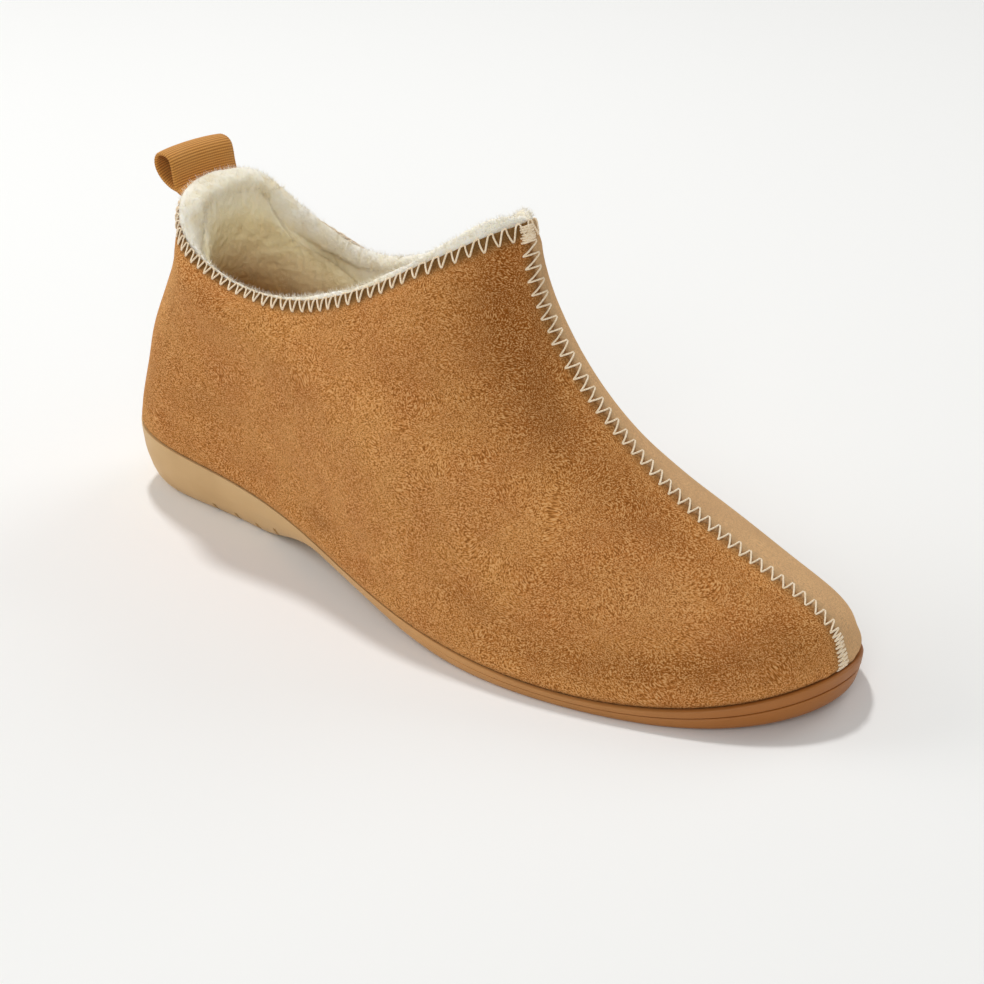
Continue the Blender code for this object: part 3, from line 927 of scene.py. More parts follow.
def build_fleece_lining(looks):
    """The fleece's body, with the lumps and curls of its pile."""
    curled = []
    sizes, heights, whites = np.array(LUMPS).T

    def place(u, v):
        share = np.where(v >= 1.0, 0.0, v)
        points, ways, turn = lining_points(u * TURN, share, looks)
        soft = soft_noise(points, sizes[0] * MM, 3)
        curls = 1.0 - 2.0 * np.abs(soft_noise(points, sizes[1] * MM, 4))
        fine = 1.0 - 2.0 * np.abs(soft_noise(points, sizes[2] * MM, 6))
        curled.append(TIP_LEVEL + whites[0] * soft + whites[1] * curls + whites[2] * fine)
        proud = smooth_step(PROUD_TURNS, turn)
        lift = (heights[0] * soft + heights[1] * curls + heights[2] * fine) * MM * proud
        points += lift[:, None] * np.cos(math.pi * turn)[:, None] * last_normals(u * TURN, ways)
        points[:, 2] += lift * np.sin(math.pi * turn)
        return points

    bm, u, v = mapped_grid(LINING_COLUMNS, LINING_ROWS, place)
    ways, turn = lining_points(u * TURN, v, looks)[1:]
    paint(bm, "tip", curled[0])
    # Painted shade inside the shoe, a little of it on the rim's inner side
    paint(bm, "inside", inside_shade_share(u * TURN, ways) + RIM_SHADE * turn ** 2)
    fleece = pile_fleece(looks, "polyester_fleece_carded")
    finish_piece("fleece_lining", bm, fleece)


# One hair of the pile: how far its tip curls, in widths of its foot, how much of its width
# tapers away, its sides and joints, and how deep its foot stands in the fleece
HAIR_CURL = 9.0
HAIR_TAPER = 0.88
HAIR_SIDES = 3
HAIR_JOINTS = 2
HAIR_ROOT = 0.35 * MM

# Any direction that no hair stands along
SCATTER_SIDE = (0.31, 0.77, 0.55)


def hair_template():
    """One curved, tapering hair of fleece, a unit high and a unit wide at its foot."""
    bm = bmesh.new()
    ring = bmesh.ops.create_circle(bm, segments=HAIR_SIDES, radius=1.0)["verts"]
    edges = list({edge for vert in ring for edge in vert.link_edges})
    for joint in range(1, HAIR_JOINTS + 1):
        grown = bmesh.ops.extrude_edge_only(bm, edges=edges)["geom"]
        ring = [part for part in grown if isinstance(part, bmesh.types.BMVert)]
        edges = [part for part in grown if isinstance(part, bmesh.types.BMEdge)]
        share = joint / HAIR_JOINTS
        before = (joint - 1) / HAIR_JOINTS
        bend = HAIR_CURL * (share ** 2 - before ** 2)
        taper = (1.0 - HAIR_TAPER * share ** 1.5) / (1.0 - HAIR_TAPER * before ** 1.5)
        bmesh.ops.translate(bm, verts=ring, vec=(bend, 0.0, 1.0 / HAIR_JOINTS))
        middle = sum((vert.co for vert in ring), Vector()) / len(ring)
        bmesh.ops.scale(bm, verts=ring, vec=(taper, taper, 1.0), space=Matrix.Translation(-middle))
    bmesh.ops.contextual_create(bm, geom=edges)
    bmesh.ops.recalc_face_normals(bm, faces=bm.faces)
    bmesh.ops.triangulate(bm, faces=bm.faces)
    points = np.array([vert.co[:] for vert in bm.verts])
    faces = np.array([[vert.index for vert in face.verts] for face in bm.faces])
    bm.free()
    return points, faces


def keep_numbers(mesh, name, values):
    """Keep one number a vertex on a finished mesh, for its material to read."""
    layer = mesh.attributes.new(name, "FLOAT", "POINT")
    layer.data.foreach_set("value", np.asarray(values, np.float32))


def scatter(name, template, feet, upright, sizes, spin, inside):
    """One mesh with a copy of the template at each foot, standing along its own direction."""
    points, faces = template
    upright = unit(upright)
    side = unit(np.cross(upright, SCATTER_SIDE))
    other = np.cross(upright, side)
    first = side * np.cos(spin)[:, None] + other * np.sin(spin)[:, None]
    second = np.cross(upright, first)
    wide, tall = sizes[:, 0], sizes[:, 1]
    copies = feet[:, None, :] + points[None, :, 2, None] * (upright * tall[:, None])[:, None, :]
    copies = copies + points[None, :, 0, None] * (first * wide[:, None])[:, None, :]
    copies = copies + points[None, :, 1, None] * (second * wide[:, None])[:, None, :]
    count = len(points)
    joined = faces[None] + (np.arange(len(feet)) * count)[:, None, None]
    mesh = bpy.data.meshes.new(name)
    mesh.from_pydata(copies.reshape(-1, 3).tolist(), [], joined.reshape(-1, 3).tolist())
    keep_numbers(mesh, "tip", np.tile(points[:, 2], len(feet)))
    keep_numbers(mesh, "inside", np.repeat(inside, count))
    mesh.update()
    return mesh


# Least and most of a hair's own width and height
HAIR_WIDTHS = (0.7, 1.3)
HAIR_HEIGHTS = (0.6, 1.25)

# Columns: piece, how many, the share of the rim where they start and the share of the face
# where they end, width and height of one in millimetres, how far they lean about
PILE = (
    ("fleece_hairs_rim", 8500, 0.10, 0.02, 0.060, 1.9, 0.75),
    ("fleece_hairs_face", 6000, 1.0, 0.45, 0.065, 1.5, 1.20),
)


def build_fleece_pile(looks):
    """Loose hairs of pile, standing on the rim and on the part of the face that shows."""
    dice = np.random.default_rng(11)
    even = np.linspace(0.0, COLLAR_PLACES[-1], 2000)
    even_angles = np.interp(even, COLLAR_PLACES, COLLAR_ANGLES)
    for name, count, rim_from, face_to, wide, tall, lean in PILE:
        angles = np.interp(dice.random(count), np.linspace(0.0, 1.0, 2000), even_angles)
        low = LINING_BACK_ROWS + rim_from * LINING_RIM_ROWS
        high = LINING_BACK_ROWS + LINING_RIM_ROWS + face_to * LINING_FACE_ROWS
        share = (low + (high - low) * dice.random(count)) / LINING_ROWS
        feet, ways, turn = lining_points(angles, share, looks)
        normals = last_normals(angles, ways)
        out = np.cos(math.pi * turn)[:, None] * normals
        out[:, 2] += np.sin(math.pi * np.minimum(turn, 0.88))
        out += dice.normal(0.0, lean, (count, 3))
        feet -= HAIR_ROOT * unit(out)
        sizes = np.stack((
            wide * MM * dice.uniform(*HAIR_WIDTHS, count),
            tall * MM * dice.uniform(*HAIR_HEIGHTS, count),
        ), axis=-1)
        spin = dice.uniform(0.0, TURN, count)
        # The painted shade inside the shoe, for each hair
        inside = inside_shade_share(angles, ways)
        mesh = scatter(name, hair_template(), feet, out, sizes, spin, inside)
        settle(name, mesh, pile_fleece(looks, name + "_polyester"))


# Stitches

def threads(name, paths, radius, material):
    """Round threads along paths, made with a curve's bevel and kept as one mesh."""
    curve = bpy.data.curves.new(name, "CURVE")
    curve.dimensions = "3D"
    curve.bevel_depth = radius
    curve.bevel_resolution = 2
    curve.use_fill_caps = True
    for path in paths:
        line = curve.splines.new("POLY")
        line.points.add(len(path) - 1)
        for point, place in zip(line.points, path):
            point.co = (*place, 1.0)
    guide = new_object(name + "_guide", curve)
    mesh = shaped_mesh(guide)
    bpy.data.objects.remove(guide)
    bpy.data.curves.remove(curve)
    mesh.name = name
    settle(name, mesh, material)


# The way up where the slope under the edge is read, and the travel over the rim to the
# suede's back, in thicknesses
EDGE_WAY = 0.97
RIM_TRAVEL = 1.5


def edge_points(places, travels, lifts, looks):
    """Points at places along the collar: a travel down its outer face, or over its rim where
    the travel is negative, raised by a lift."""
    thick = looks.suede_thickness
    angles = collar_angles(places)
    near_edge = np.full(len(angles), EDGE_WAY)
    slope = np.linalg.norm(last_slopes(angles, near_edge)[1], axis=1)
    ways = 1.0 - np.maximum(travels, 0.0) / slope
    rim = np.clip(-travels / (RIM_TRAVEL * thick), 0.0, 1.0)
    reach = 0.5 * thick + lifts
    depth = suede_depth(angles, ways, looks) + 0.5 * thick - reach * np.cos(math.pi * rim)
    points = upper_points(angles, ways, depth)
    points[:, 2] += reach * np.sin(math.pi * rim)
    return points


# How far a needle hole strays, along the edge or across the seam, down from the edge, and
# along the seam
STRAY = 0.12 * MM
STRAY_DOWN = 0.15 * MM
STRAY_ALONG = 0.06 * MM

# Where the seam's first and last stitches may lie, from its two ends
SEAM_START = 0.4 * MM
SEAM_END = 0.3 * MM

# How much narrower and closer the toe's and the peak's bars are
BAR_NARROWER = (0.10, 0.15)
BAR_CLOSER = (0.70, 0.80)

# How far a leg sinks into the groove that it bridges
LEG_SAG = 0.1 * MM

# Where the seam's close bars begin and are full, from its two ends
TOE_BAR = (15.0 * MM, 9.0 * MM)
PEAK_BAR = (7.5 * MM, 5.5 * MM)

# Columns: share of the stitch's pitch, share of its depth below the edge, lift in radii
COLLAR_STITCH = (
    (0.00, -0.10, 0.9),
    (0.08, 0.16, 1.0),
    (0.18, 0.42, 1.0),
    (0.30, 0.70, 0.9),
    (0.41, 0.92, 0.4),
    (0.47, 1.00, -1.2),
    (0.51, 0.90, 0.4),
    (0.56, 0.66, 0.9),
    (0.61, 0.36, 1.0),
    (0.65, 0.10, 1.0),
    (0.70, -0.12, 0.9),
    (0.80, -0.20, 0.8),
    (0.91, -0.20, 0.8),
)


def build_collar_stitch(looks):
    """The zigzag that whips the suede's edge to the fleece all round the collar."""
    dice = np.random.default_rng(5)
    radius = 0.5 * looks.thread_diameter
    starts = collar_starts(looks)
    shape = np.array(COLLAR_STITCH)
    count = len(starts) - 1
    paths = []
    for i in range(count):
        start, tip, end = dice.normal(0.0, STRAY, 3)
        deep = looks.stitch_depth * stitch_share(starts[i], 1) + dice.normal(0.0, STRAY_DOWN)
        strays = np.interp(shape[:, 0], (0.0, 0.47, 0.91), (start, tip, end))
        places = starts[i] + shape[:, 0] * (starts[i + 1] - starts[i]) + strays
        travels = shape[:, 1] * np.where(shape[:, 1] > 0.0, deep, looks.stitch_depth)
        paths.append(edge_points(places, travels, shape[:, 2] * radius, looks))
    # Each stitch runs on into the next over the rim
    joined = [np.vstack((path, paths[(i + 1) % count][:1])) for i, path in enumerate(paths)]
    threads("collar_zigzag", joined, radius, sewing_thread(looks))


def seam_leg(start, end, radius, looks):
    """One leg of the seam's zigzag from needle hole to needle hole, bridging the groove."""
    share = np.linspace(0.0, 1.0, 9)
    angles = start[0] + (end[0] - start[0]) * share
    ways = np.clip(start[1] + (end[1] - start[1]) * share, 0.0, 1.0)
    depth = suede_depth(angles % TURN, ways, looks)
    depth = np.minimum(depth, depth[0] + (depth[-1] - depth[0]) * share + LEG_SAG)
    lift = radius * (0.9 - 2.0 * (2.0 * share - 1.0) ** 8)
    return upper_points(angles, ways, depth - lift)


def build_seam_stitch(looks):
    """The zigzag along the centre seam, close set at the toe and at the peak."""
    dice = np.random.default_rng(8)
    radius = 0.5 * looks.thread_diameter
    length = SEAM_PLACES[-1]
    holes = []
    at = SEAM_START
    while at < length - SEAM_END:
        way = np.interp(at, SEAM_PLACES, SEAM_WAYS)
        slope = np.linalg.norm(last_slopes(np.zeros(1), np.array([way]))[0])
        toe_bar = smooth_step(TOE_BAR, at)
        peak_bar = smooth_step((length - PEAK_BAR[0], length - PEAK_BAR[1]), at)
        narrower = BAR_NARROWER[0] * toe_bar, BAR_NARROWER[1] * peak_bar
        half = 0.5 * looks.stitch_width * (1.0 - narrower[0] - narrower[1])
        centre = -seam_shift(np.array([way]))[0]
        for side in (-1.0, 1.0):
            reach = centre + side * (half + dice.normal(0.0, STRAY))
            rise = dice.normal(0.0, STRAY_ALONG) * (1.0 - 0.5 * toe_bar)
            holes.append((reach / slope, np.interp(at + rise, SEAM_PLACES, SEAM_WAYS)))
        holes[-1], holes[-2] = holes[-2], holes[-1]
        closer = (1.0 - BAR_CLOSER[0] * toe_bar), (1.0 - BAR_CLOSER[1] * peak_bar)
        at += looks.seam_pitch * closer[0] * closer[1]
    paths = [seam_leg(holes[i], holes[i + 1], radius, looks) for i in range(len(holes) - 1)]
    threads("seam_zigzag", paths, radius, sewing_thread(looks))


# Outsole and insole

def plan_normals(ring):
    """Unit normals of a closed ring as seen from above, pointing out of it."""
    along = np.roll(ring, -1, axis=0) - np.roll(ring, 1, axis=0)
    normal = np.stack((along[:, 1], -along[:, 0], np.zeros(len(ring))), axis=-1)
    return unit(normal)


def sole_top(x):
    return feather_height(x) - FIT_GAP


def sole_bottom(x):
    """Height of the underside: flat heel, open arch, flat ball and a lifted toe."""
    share = np.asarray(x) / LAST_LENGTH
    arch = smooth_step(BREAST, share) * (1.0 - smooth_step(ARCH_FALL, share))
    spring = np.clip((share - SPRING_START) / (1.0 - SPRING_START), 0.0, None)
    return arch * (sole_top(x) - SHANK_THICKNESS) + TOE_SPRING * spring ** 2


SOLE_COLUMNS = 420
LID_ROWS = 8
SHARP_ANGLE = math.radians(42)

# Share of the side groove's depth that rounds the sole's two edges at the heel too
EDGE_ROUND = 0.35
SIDE_ROWS = 3 * (len(SIDE_LEVELS) - 1)


def sole_ring(level):
    """One ring down the outsole's side, from its levels table."""
    down, tuck, step = level
    angles = np.linspace(0.0, TURN, SOLE_COLUMNS, endpoint=False)
    feather = last_points(angles, np.zeros(SOLE_COLUMNS))
    fore = smooth_step(RIM_GROWTH, feather[:, 0] / LAST_LENGTH)
    rim = RIM_HEEL + (RIM_FORE - RIM_HEEL) * fore
    draft = np.tan(HEEL_DRAFT + (FORE_DRAFT - HEEL_DRAFT) * fore)
    tall = sole_top(feather[:, 0]) - sole_bottom(feather[:, 0])
    edge = EDGE_ROUND if down in (0.0, 1.0) else 0.0
    out = rim - tuck * draft * tall - step * SIDE_GROOVE * np.maximum(fore, edge)
    ring = feather + plan_normals(feather) * out[:, None]
    top = sole_top(ring[:, 0])
    ring[:, 2] = top + down * (sole_bottom(ring[:, 0]) - top)
    return ring


def mirrored(ring):
    """The ring's points on the other side of the foot, each beside its own."""
    return np.roll(ring[::-1], 1, axis=0)


def lid_rings(ring, height, count):
    """Rings that draw a ring in to the foot's centre line over a surface."""
    rings = []
    for share in np.linspace(0.0, 1.0, count + 1)[:-1]:
        drawn = 0.5 * (1.0 + share) * ring + 0.5 * (1.0 - share) * mirrored(ring)
        drawn[:, 2] = height(drawn[:, 0])
        rings.append(drawn)
    return rings


def ring_grid(rings):
    """A grid moved onto a stack of closed rings."""
    stack = np.array(rings) + PLACE
    columns = stack.shape[1]

    def place(u, v):
        column = np.rint(u * columns).astype(int) % columns
        row = np.rint(v * (len(stack) - 1)).astype(int)
        return stack[row, column]

    return mapped_grid(columns, len(stack) - 1, place)


def tread_cutter(ground):
    """All tread grooves as boxes: some through the heel's edge, some inside the edge."""
    bm = bmesh.new()
    half = len(ground) // 2
    big_toe_side = ground[:half][::-1]
    little_toe_side = np.vstack((ground[half:], ground[:1]))
    cuts = []
    for limits in (EDGE_TREAD, *INSIDE_TREAD):
        start = limits[0] * LAST_LENGTH
        count = int((limits[1] - limits[0]) * LAST_LENGTH / TREAD_PITCH) + 1
        for x in (start + i * TREAD_PITCH for i in range(count)):
            high = np.interp(x, big_toe_side[:, 0], big_toe_side[:, 1]) - TREAD_MARGIN
            low = np.interp(x, little_toe_side[:, 0], little_toe_side[:, 1]) + TREAD_MARGIN
            tall = 2.0 * TREAD_DEPTH
            if limits is EDGE_TREAD:
                high, low, tall = HEEL_WIDTH, -HEEL_WIDTH, 2.0 * EDGE_TREAD_DEPTH
            cuts.append((x, low, high, tall))
    for x, low, high, tall in cuts:
        box = bmesh.ops.create_cube(bm, size=1.0)["verts"]
        bmesh.ops.scale(bm, verts=box, vec=(TREAD_WIDTH, high - low, tall))
        centre = np.array((x, 0.5 * (low + high), float(sole_bottom(x)))) + PLACE
        bmesh.ops.translate(bm, verts=box, vec=centre)
    return new_object("tread_cutter", kept_mesh("tread_cutter", bm))


def build_outsole(looks):
    """The moulded outsole, with its rim, side grooves and tread."""
    levels = np.array(SIDE_LEVELS)
    at = np.linspace(0.0, len(levels) - 1.0, SIDE_ROWS + 1)
    sides = [
        sole_ring([np.interp(place, range(len(levels)), levels[:, k]) for k in range(3)])
        for place in at
    ]
    top = lid_rings(sides[0], sole_top, LID_ROWS)
    bottom = lid_rings(sides[-1], sole_bottom, LID_ROWS)[::-1]
    bm = ring_grid(top + sides + bottom)[0]
    piece = finish_piece("rubber_outsole", bm, moulded_rubber(looks), "outsole")
    cutter = tread_cutter(sides[-1])
    cut = piece.modifiers.new("tread", "BOOLEAN")
    cut.operation = "DIFFERENCE"
    cut.solver = "EXACT"
    cut.object = cutter
    mesh = shaped_mesh(piece)
    piece.modifiers.clear()
    bpy.data.objects.remove(cutter)
    piece.data = mesh
    mesh.name = "rubber_outsole"
    mesh.set_sharp_from_angle(angle=SHARP_ANGLE)


# Rings over the insole's two faces, and the length and height of its lumps
INSOLE_BASE_ROWS = 3
INSOLE_TOP_ROWS = 34
INSOLE_LUMP_LENGTH = 5.0 * MM
INSOLE_LUMP = 0.35 * MM


def insole_ring(rise, inset):
    """A ring of the insole at a rise above the feather surface, inside the upper's wall."""
    angles = np.linspace(0.0, TURN, LINING_COLUMNS, endpoint=False)
    depth = UPPER_WALL + FIT_GAP
    ways = np.linspace(0.0, 2.0 * RING_WAYS[1], 9)
    stack = np.array([upper_points(angles, way, depth) - PLACE for way in ways])
    stack[0, :, 2] = feather_height(stack[0, :, 0])
    heights = stack[:, :, 2] - feather_height(stack[:, :, 0])
    ring = np.array([
        [np.interp(rise, heights[:, i], stack[:, i, axis]) for axis in range(3)]
        for i in range(LINING_COLUMNS)
    ])
    ring -= inset * plan_normals(ring)
    ring[:, 2] = feather_height(ring[:, 0]) + rise
    return ring


def build_insole(looks):
    """The padded, fleece-covered insole."""
    edge = INSOLE_THICKNESS - INSOLE_ROUND
    steps = (
        (0.0, 0.0),
        (0.5 * edge, 0.0),
        (edge, 0.0),
        (INSOLE_THICKNESS - 0.3 * INSOLE_ROUND, 0.3 * INSOLE_ROUND),
        (INSOLE_THICKNESS, INSOLE_ROUND),
    )
    sides = [insole_ring(rise, inset) for rise, inset in steps]
    bottom = lid_rings(sides[0], feather_height, INSOLE_BASE_ROWS)
    top = lid_rings(sides[-1], lambda x: feather_height(x) + INSOLE_THICKNESS, INSOLE_TOP_ROWS)
    for ring in top:
        ring[:, 2] += INSOLE_LUMP * soft_noise(ring, INSOLE_LUMP_LENGTH, 9)
    bm = ring_grid(bottom + sides + top[::-1])[0]
    paint(bm, "tip", np.full(len(bm.verts), 0.5))
    # The insole takes the painted shade of deep inside the shoe
    paint(bm, "inside", np.full(len(bm.verts), 0.8))
    fleece = pile_fleece(looks, "fleece_insole_polyester")
    piece = finish_piece("fleece_insole", bm, fleece, "insole")


# Pull loop

LOOP_COLUMNS = 16
LOOP_ROWS = 700

# Depth of the furrows between the ribs, and a power that flattens the ribs' tops
RIB_DEPTH = 0.14 * MM
RIB_ROUND = 0.6


def ribbon_columns():
    """Angles around the back of the heel, evenly spaced across the ribbon's width."""
    angles = np.linspace(0.75 * math.pi, 1.25 * math.pi, 81)
    collar = upper_points(angles, 1.0, UPPER_WALL) - PLACE
    across = np.linspace(0.5, -0.5, LOOP_COLUMNS + 1) * LOOP_WIDTH
    return np.interp(-across, -collar[:, 1], angles)


def tail_rows(angles, depth):
    """The ribbon's tail inside the back of the heel, from its end up to the collar."""
    ways = np.linspace(RING_WAYS[4], 1.0, 12)
    wall = np.array([upper_points(angles, way, depth) for way in ways])
    middle = len(angles) // 2
    drop = wall[-1, middle, 2] - wall[:, middle, 2]
    steps = np.interp((LOOP_TAIL, 0.5 * LOOP_TAIL, 0.0), drop[::-1], ways[::-1])
    return [upper_points(angles, way, depth) for way in steps]


def build_pull_loop(looks):
    """The grosgrain loop, ribbed across its width, leaning back from the heel."""
    angles = ribbon_columns()
    middle = len(angles) // 2
    wall_ply = UPPER_WALL + FIT_GAP + 0.5 * LOOP_THICKNESS
    foot_ply = wall_ply + LOOP_THICKNESS + FIT_GAP
    collar = upper_points(angles, 1.0, UPPER_WALL)
    crown = collar[middle]
    rows = tail_rows(angles, wall_ply)
    for back, up, curl in LOOP_PATH:
        row = np.empty((len(angles), 3))
        row[:, 0] = crown[0] - back * LOOP_DEPTH + curl * (collar[:, 0] - crown[0])
        row[:, 1] = collar[:, 1]
        row[:, 2] = crown[2] + up * LOOP_HEIGHT + curl * (collar[:, 2] - crown[2])
        rows.append(row)
    rows += tail_rows(angles, foot_ply)[::-1]
    path = np.array(rows)
    places = distances(path[:, middle])
    samples = np.linspace(0.0, places[-1], LOOP_ROWS + 1)
    sheet = spline(places, path.reshape(len(path), -1), samples)
    sheet = sheet.reshape(LOOP_ROWS + 1, len(angles), 3)
    along = np.gradient(sheet, axis=0)
    across = np.gradient(sheet, axis=1)
    normal = unit(np.cross(along, across))
    # The ribs' profile, which also sets their painted shade and highlight
    rib = (0.5 - 0.5 * np.cos(TURN * samples / looks.rib_pitch)) ** RIB_ROUND
    half = 0.5 * LOOP_THICKNESS - RIB_DEPTH * (1.0 - rib)
    # Around the ribbon's section: its front, one edge, its back and the other edge
    loops = 2 * LOOP_COLUMNS + 4

    def place(u, v):
        row = np.rint(v * LOOP_ROWS).astype(int)
        step = np.rint(u * loops).astype(int) % loops
        front = step <= LOOP_COLUMNS
        back = (step >= LOOP_COLUMNS + 2) & (step <= 2 * LOOP_COLUMNS + 2)
        column = np.where(front, step, 2 * LOOP_COLUMNS + 2 - step)
        column = np.clip(column, 0, LOOP_COLUMNS)
        side = np.where(front, 1.0, np.where(back, -1.0, 0.0))
        edge = np.where(front | back, 0.0, 1.0)
        out = edge * half[row] * np.where(step < 2 * LOOP_COLUMNS, 1.0, -1.0)
        base = sheet[row, column]
        edgewise = unit(across[row, column])
        return base + (side * half[row])[:, None] * normal[row, column] + out[:, None] * edgewise

    bm, u, v = mapped_grid(loops, LOOP_ROWS, place)
    paint(bm, "rib", rib[np.rint(v * LOOP_ROWS).astype(int)])
    bmesh.ops.remove_doubles(bm, verts=bm.verts, dist=1e-6)
    rims = [edge for edge in bm.edges if edge.is_boundary]
    bmesh.ops.holes_fill(bm, edges=rims, sides=0)
    finish_piece("grosgrain_loop", bm, grosgrain(looks), "pull_loop")


# Stage

FLOOR_HALF = 4.0
LAMP_AIM = (0.0, 0.0, 0.04)

# Columns: name, place, size and power in watts
LAMPS = (
    ("key", (-0.50, 0.24, 1.42), 0.15, 9.3),
    ("front", (0.90, -1.20, 1.00), 1.00, 9.2),
    ("heel", (-1.40, -0.60, 0.80), 1.00, 8.4),
    ("back", (0.30, 2.20, 1.60), 1.80, 14.0),
)


def build_stage(looks):
    """A pale floor, soft light from above and behind, and the photograph's camera."""
    bm = bmesh.new()
    bmesh.ops.create_grid(bm, x_segments=1, y_segments=1, size=FLOOR_HALF)
    mesh = kept_mesh("floor", bm)
    paper = new_material("paper_matt", {
        "Base Color": colour(looks.floor_colour),
        "Roughness": 0.9,
        "Specular IOR Level": 0.1,
    })[0]
    mesh.materials.append(paper)
    new_object("floor", mesh)

    for name, place, size, power in LAMPS:
        lamp = bpy.data.lights.new(name, "AREA")
        lamp.shape = "DISK"
        lamp.size = size
        lamp.energy = power
        holder = new_object(name, lamp)
        holder.location = place
        aim = Vector(LAMP_AIM) - Vector(place)
        holder.rotation_euler = aim.to_track_quat("-Z", "Y").to_euler()

    world = bpy.data.worlds.new("studio")
    world.use_nodes = True
    sky = world.node_tree.nodes["Background"]
    sky.inputs["Color"].default_value = colour("#ffffff")
    sky.inputs["Strength"].default_value = looks.fill_strength
    scene = bpy.context.scene
    scene.world = world
    scene.view_settings.view_transform = "Standard"

    bearing = Vector((
        math.sin(CAMERA_AZIMUTH) * math.cos(CAMERA_ELEVATION),
        -math.cos(CAMERA_AZIMUTH) * math.cos(CAMERA_ELEVATION),
        math.sin(CAMERA_ELEVATION),
    ))
    rightwards = Vector((math.cos(CAMERA_AZIMUTH), math.sin(CAMERA_AZIMUTH), 0.0))
    upwards = bearing.cross(rightwards)
    target = Vector(CAMERA_TARGET) + Vector(PLACE)
    camera_data = bpy.data.cameras.new("camera")
    camera_data.lens = CAMERA_LENS
    camera_data.sensor_width = CAMERA_SENSOR
    camera_data.clip_start = 0.01
    camera = new_object("camera", camera_data)
    slide = rightwards * CAMERA_SLIDE[0] + upwards * CAMERA_SLIDE[1]
    camera.location = target + bearing * CAMERA_DISTANCE + slide
    camera.rotation_euler = (-bearing).to_track_quat("-Z", "Y").to_euler()
    scene.camera = camera


# Add-on

class SlipperLooks(bpy.types.PropertyGroup):
    """Sizes and colours that a user would change."""

    suede_thickness: bpy.props.FloatProperty(
        name="Suede thickness", description="Thickness of the microsuede shell",
        default=1.2 * MM, min=0.0005, unit="LENGTH")
    fleece_depth: bpy.props.FloatProperty(
        name="Fleece depth", description="Depth of the fleece's face under the outer face",
        default=6.8 * MM, min=0.002, unit="LENGTH")
    fleece_rise: bpy.props.FloatProperty(
        name="Fleece rise", description="How far the fleece stands above the suede's edge",
        default=2.0 * MM, min=0.0, unit="LENGTH")
    collar_pitch: bpy.props.FloatProperty(
        name="Collar stitch pitch", description="Distance between the collar's zigzags",
        default=3.95 * MM, min=0.001, unit="LENGTH")
    stitch_depth: bpy.props.FloatProperty(
        name="Collar stitch depth", description="Depth of the collar's zigzag below its edge",
        default=3.9 * MM, min=0.001, unit="LENGTH")
    seam_pitch: bpy.props.FloatProperty(
        name="Seam stitch pitch", description="Distance between the centre seam's zigzags",
        default=3.75 * MM, min=0.001, unit="LENGTH")
    stitch_width: bpy.props.FloatProperty(
        name="Seam stitch width", description="Width of the zigzag over the centre seam",
        default=4.8 * MM, min=0.001, unit="LENGTH")
    thread_diameter: bpy.props.FloatProperty(
        name="Thread diameter", description="Diameter of the sewing thread",
        default=0.56 * MM, min=0.0002, unit="LENGTH")
    rib_pitch: bpy.props.FloatProperty(
        name="Rib pitch", description="Distance between the ribbon's cross ribs",
        default=0.8 * MM, min=0.0005, unit="LENGTH")
    suede_dark: bpy.props.StringProperty(
        name="Suede, dark", description="Colour of the darker patches", default="#b87136")
    suede_light: bpy.props.StringProperty(
        name="Suede, light", description="Colour of the raised nap", default="#cd8c49")
    # Colour of the stroked nap, which also carries painted shade
    suede_stroked_and_shade: bpy.props.StringProperty(
        name="Suede, stroked", description="Colour where the nap lies flat", default="#955214")
    fleece_root: bpy.props.StringProperty(
        name="Fleece roots", description="Colour between the locks", default="#f4e8c9")
    fleece_tip: bpy.props.StringProperty(
        name="Fleece tips", description="Colour of the pile's tips", default="#fcf8ee")
    # Painted shade deep inside the shoe
    fleece_inside_shade: bpy.props.StringProperty(
        name="Fleece, inside", description="Colour deep inside the shoe", default="#b07a30")
    thread_colour: bpy.props.StringProperty(
        name="Thread", description="Colour of the sewing thread", default="#fff0d8")
    # Colour of the heel wall, partly painted bounce light
    rubber_heel_and_bounce_light: bpy.props.StringProperty(
        name="Rubber, heel", description="Colour of the sole's heel wall", default="#d5b07c")
    rubber_ball: bpy.props.StringProperty(
        name="Rubber, ball", description="Colour of the sole beside the ball", default="#d09c60")
    # Colour round the toe, partly painted shade
    rubber_toe_and_shade: bpy.props.StringProperty(
        name="Rubber, toe", description="Colour of the sole around the toe", default="#a6682e")
    ribbon_colour: bpy.props.StringProperty(
        name="Ribbon", description="Colour of the pull loop", default="#dfa150")
    floor_colour: bpy.props.StringProperty(
        name="Floor", description="Colour of the studio floor", default="#f4f4f2")
    fill_strength: bpy.props.FloatProperty(
        name="Fill light", description="Strength of the even light from all round",
        default=0.285, min=0.0, subtype="FACTOR")


class AddSuedeUpper(bpy.types.Operator):
    """Add the microsuede shell"""

    bl_idname = "slipper.suede_upper"
    bl_label = "Suede upper"

    def execute(self, context):
        build_suede_upper(context.scene.slipper_looks)
        return {"FINISHED"}


class AddFleeceLining(bpy.types.Operator):
    """Add the fleece lining with its pile"""

    bl_idname = "slipper.fleece_lining"
    bl_label = "Fleece lining"

    def execute(self, context):
        build_fleece_lining(context.scene.slipper_looks)
        build_fleece_pile(context.scene.slipper_looks)
        return {"FINISHED"}


class AddStitches(bpy.types.Operator):
    """Add the zigzag stitches of the collar and the centre seam"""

    bl_idname = "slipper.stitches"
    bl_label = "Zigzag stitches"

    def execute(self, context):
        build_collar_stitch(context.scene.slipper_looks)
        build_seam_stitch(context.scene.slipper_looks)
        return {"FINISHED"}


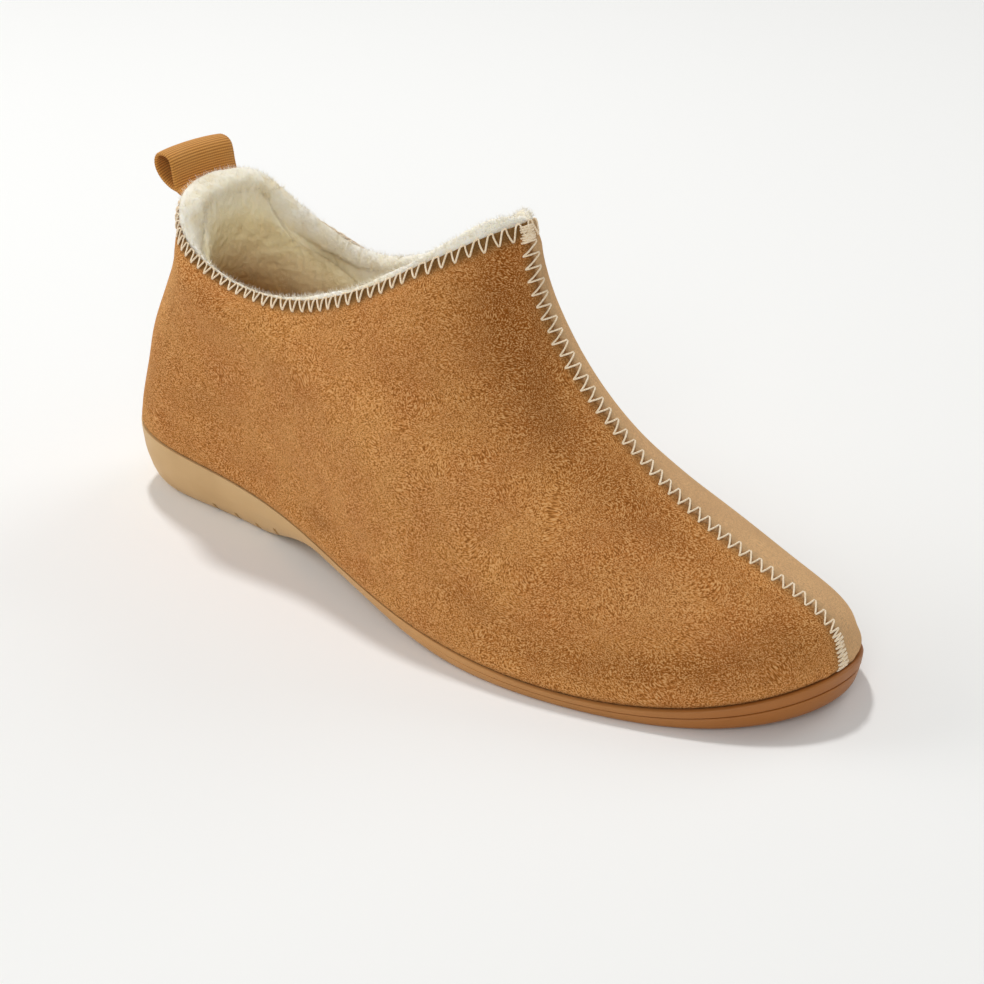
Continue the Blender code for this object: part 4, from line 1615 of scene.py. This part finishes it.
class AddOutsole(bpy.types.Operator):
    """Add the moulded rubber outsole"""

    bl_idname = "slipper.outsole"
    bl_label = "Outsole"

    def execute(self, context):
        build_outsole(context.scene.slipper_looks)
        return {"FINISHED"}


class AddInsole(bpy.types.Operator):
    """Add the fleece-covered insole"""

    bl_idname = "slipper.insole"
    bl_label = "Insole"

    def execute(self, context):
        build_insole(context.scene.slipper_looks)
        return {"FINISHED"}


class AddPullLoop(bpy.types.Operator):
    """Add the ribbed pull loop"""

    bl_idname = "slipper.pull_loop"
    bl_label = "Pull loop"

    def execute(self, context):
        build_pull_loop(context.scene.slipper_looks)
        return {"FINISHED"}


class AddStage(bpy.types.Operator):
    """Add the floor, the lights and the camera"""

    bl_idname = "slipper.stage"
    bl_label = "Stage"

    def execute(self, context):
        build_stage(context.scene.slipper_looks)
        return {"FINISHED"}


PIECES = (AddSuedeUpper, AddFleeceLining, AddStitches, AddOutsole, AddInsole, AddPullLoop, AddStage)


class SlipperPanel(bpy.types.Panel):
    """The slipper's pieces and looks"""

    bl_idname = "VIEW3D_PT_slipper"
    bl_label = "Bootie slipper"
    bl_space_type = "VIEW_3D"
    bl_region_type = "UI"
    bl_category = "Slipper"

    def draw(self, context):
        looks = context.scene.slipper_looks
        for name in SlipperLooks.__annotations__:
            self.layout.prop(looks, name)
        for piece in PIECES:
            self.layout.operator(piece.bl_idname)


CLASSES = (SlipperLooks, *PIECES, SlipperPanel)


def register():
    for made in CLASSES:
        bpy.utils.register_class(made)
    bpy.types.Scene.slipper_looks = bpy.props.PointerProperty(type=SlipperLooks)


def unregister():
    del bpy.types.Scene.slipper_looks
    for made in reversed(CLASSES):
        bpy.utils.unregister_class(made)


def main():
    register()
    bpy.ops.slipper.stage()
    bpy.ops.slipper.suede_upper()
    bpy.ops.slipper.fleece_lining()
    bpy.ops.slipper.stitches()
    bpy.ops.slipper.outsole()
    bpy.ops.slipper.insole()
    bpy.ops.slipper.pull_loop()


if __name__ == "__main__":
    main()
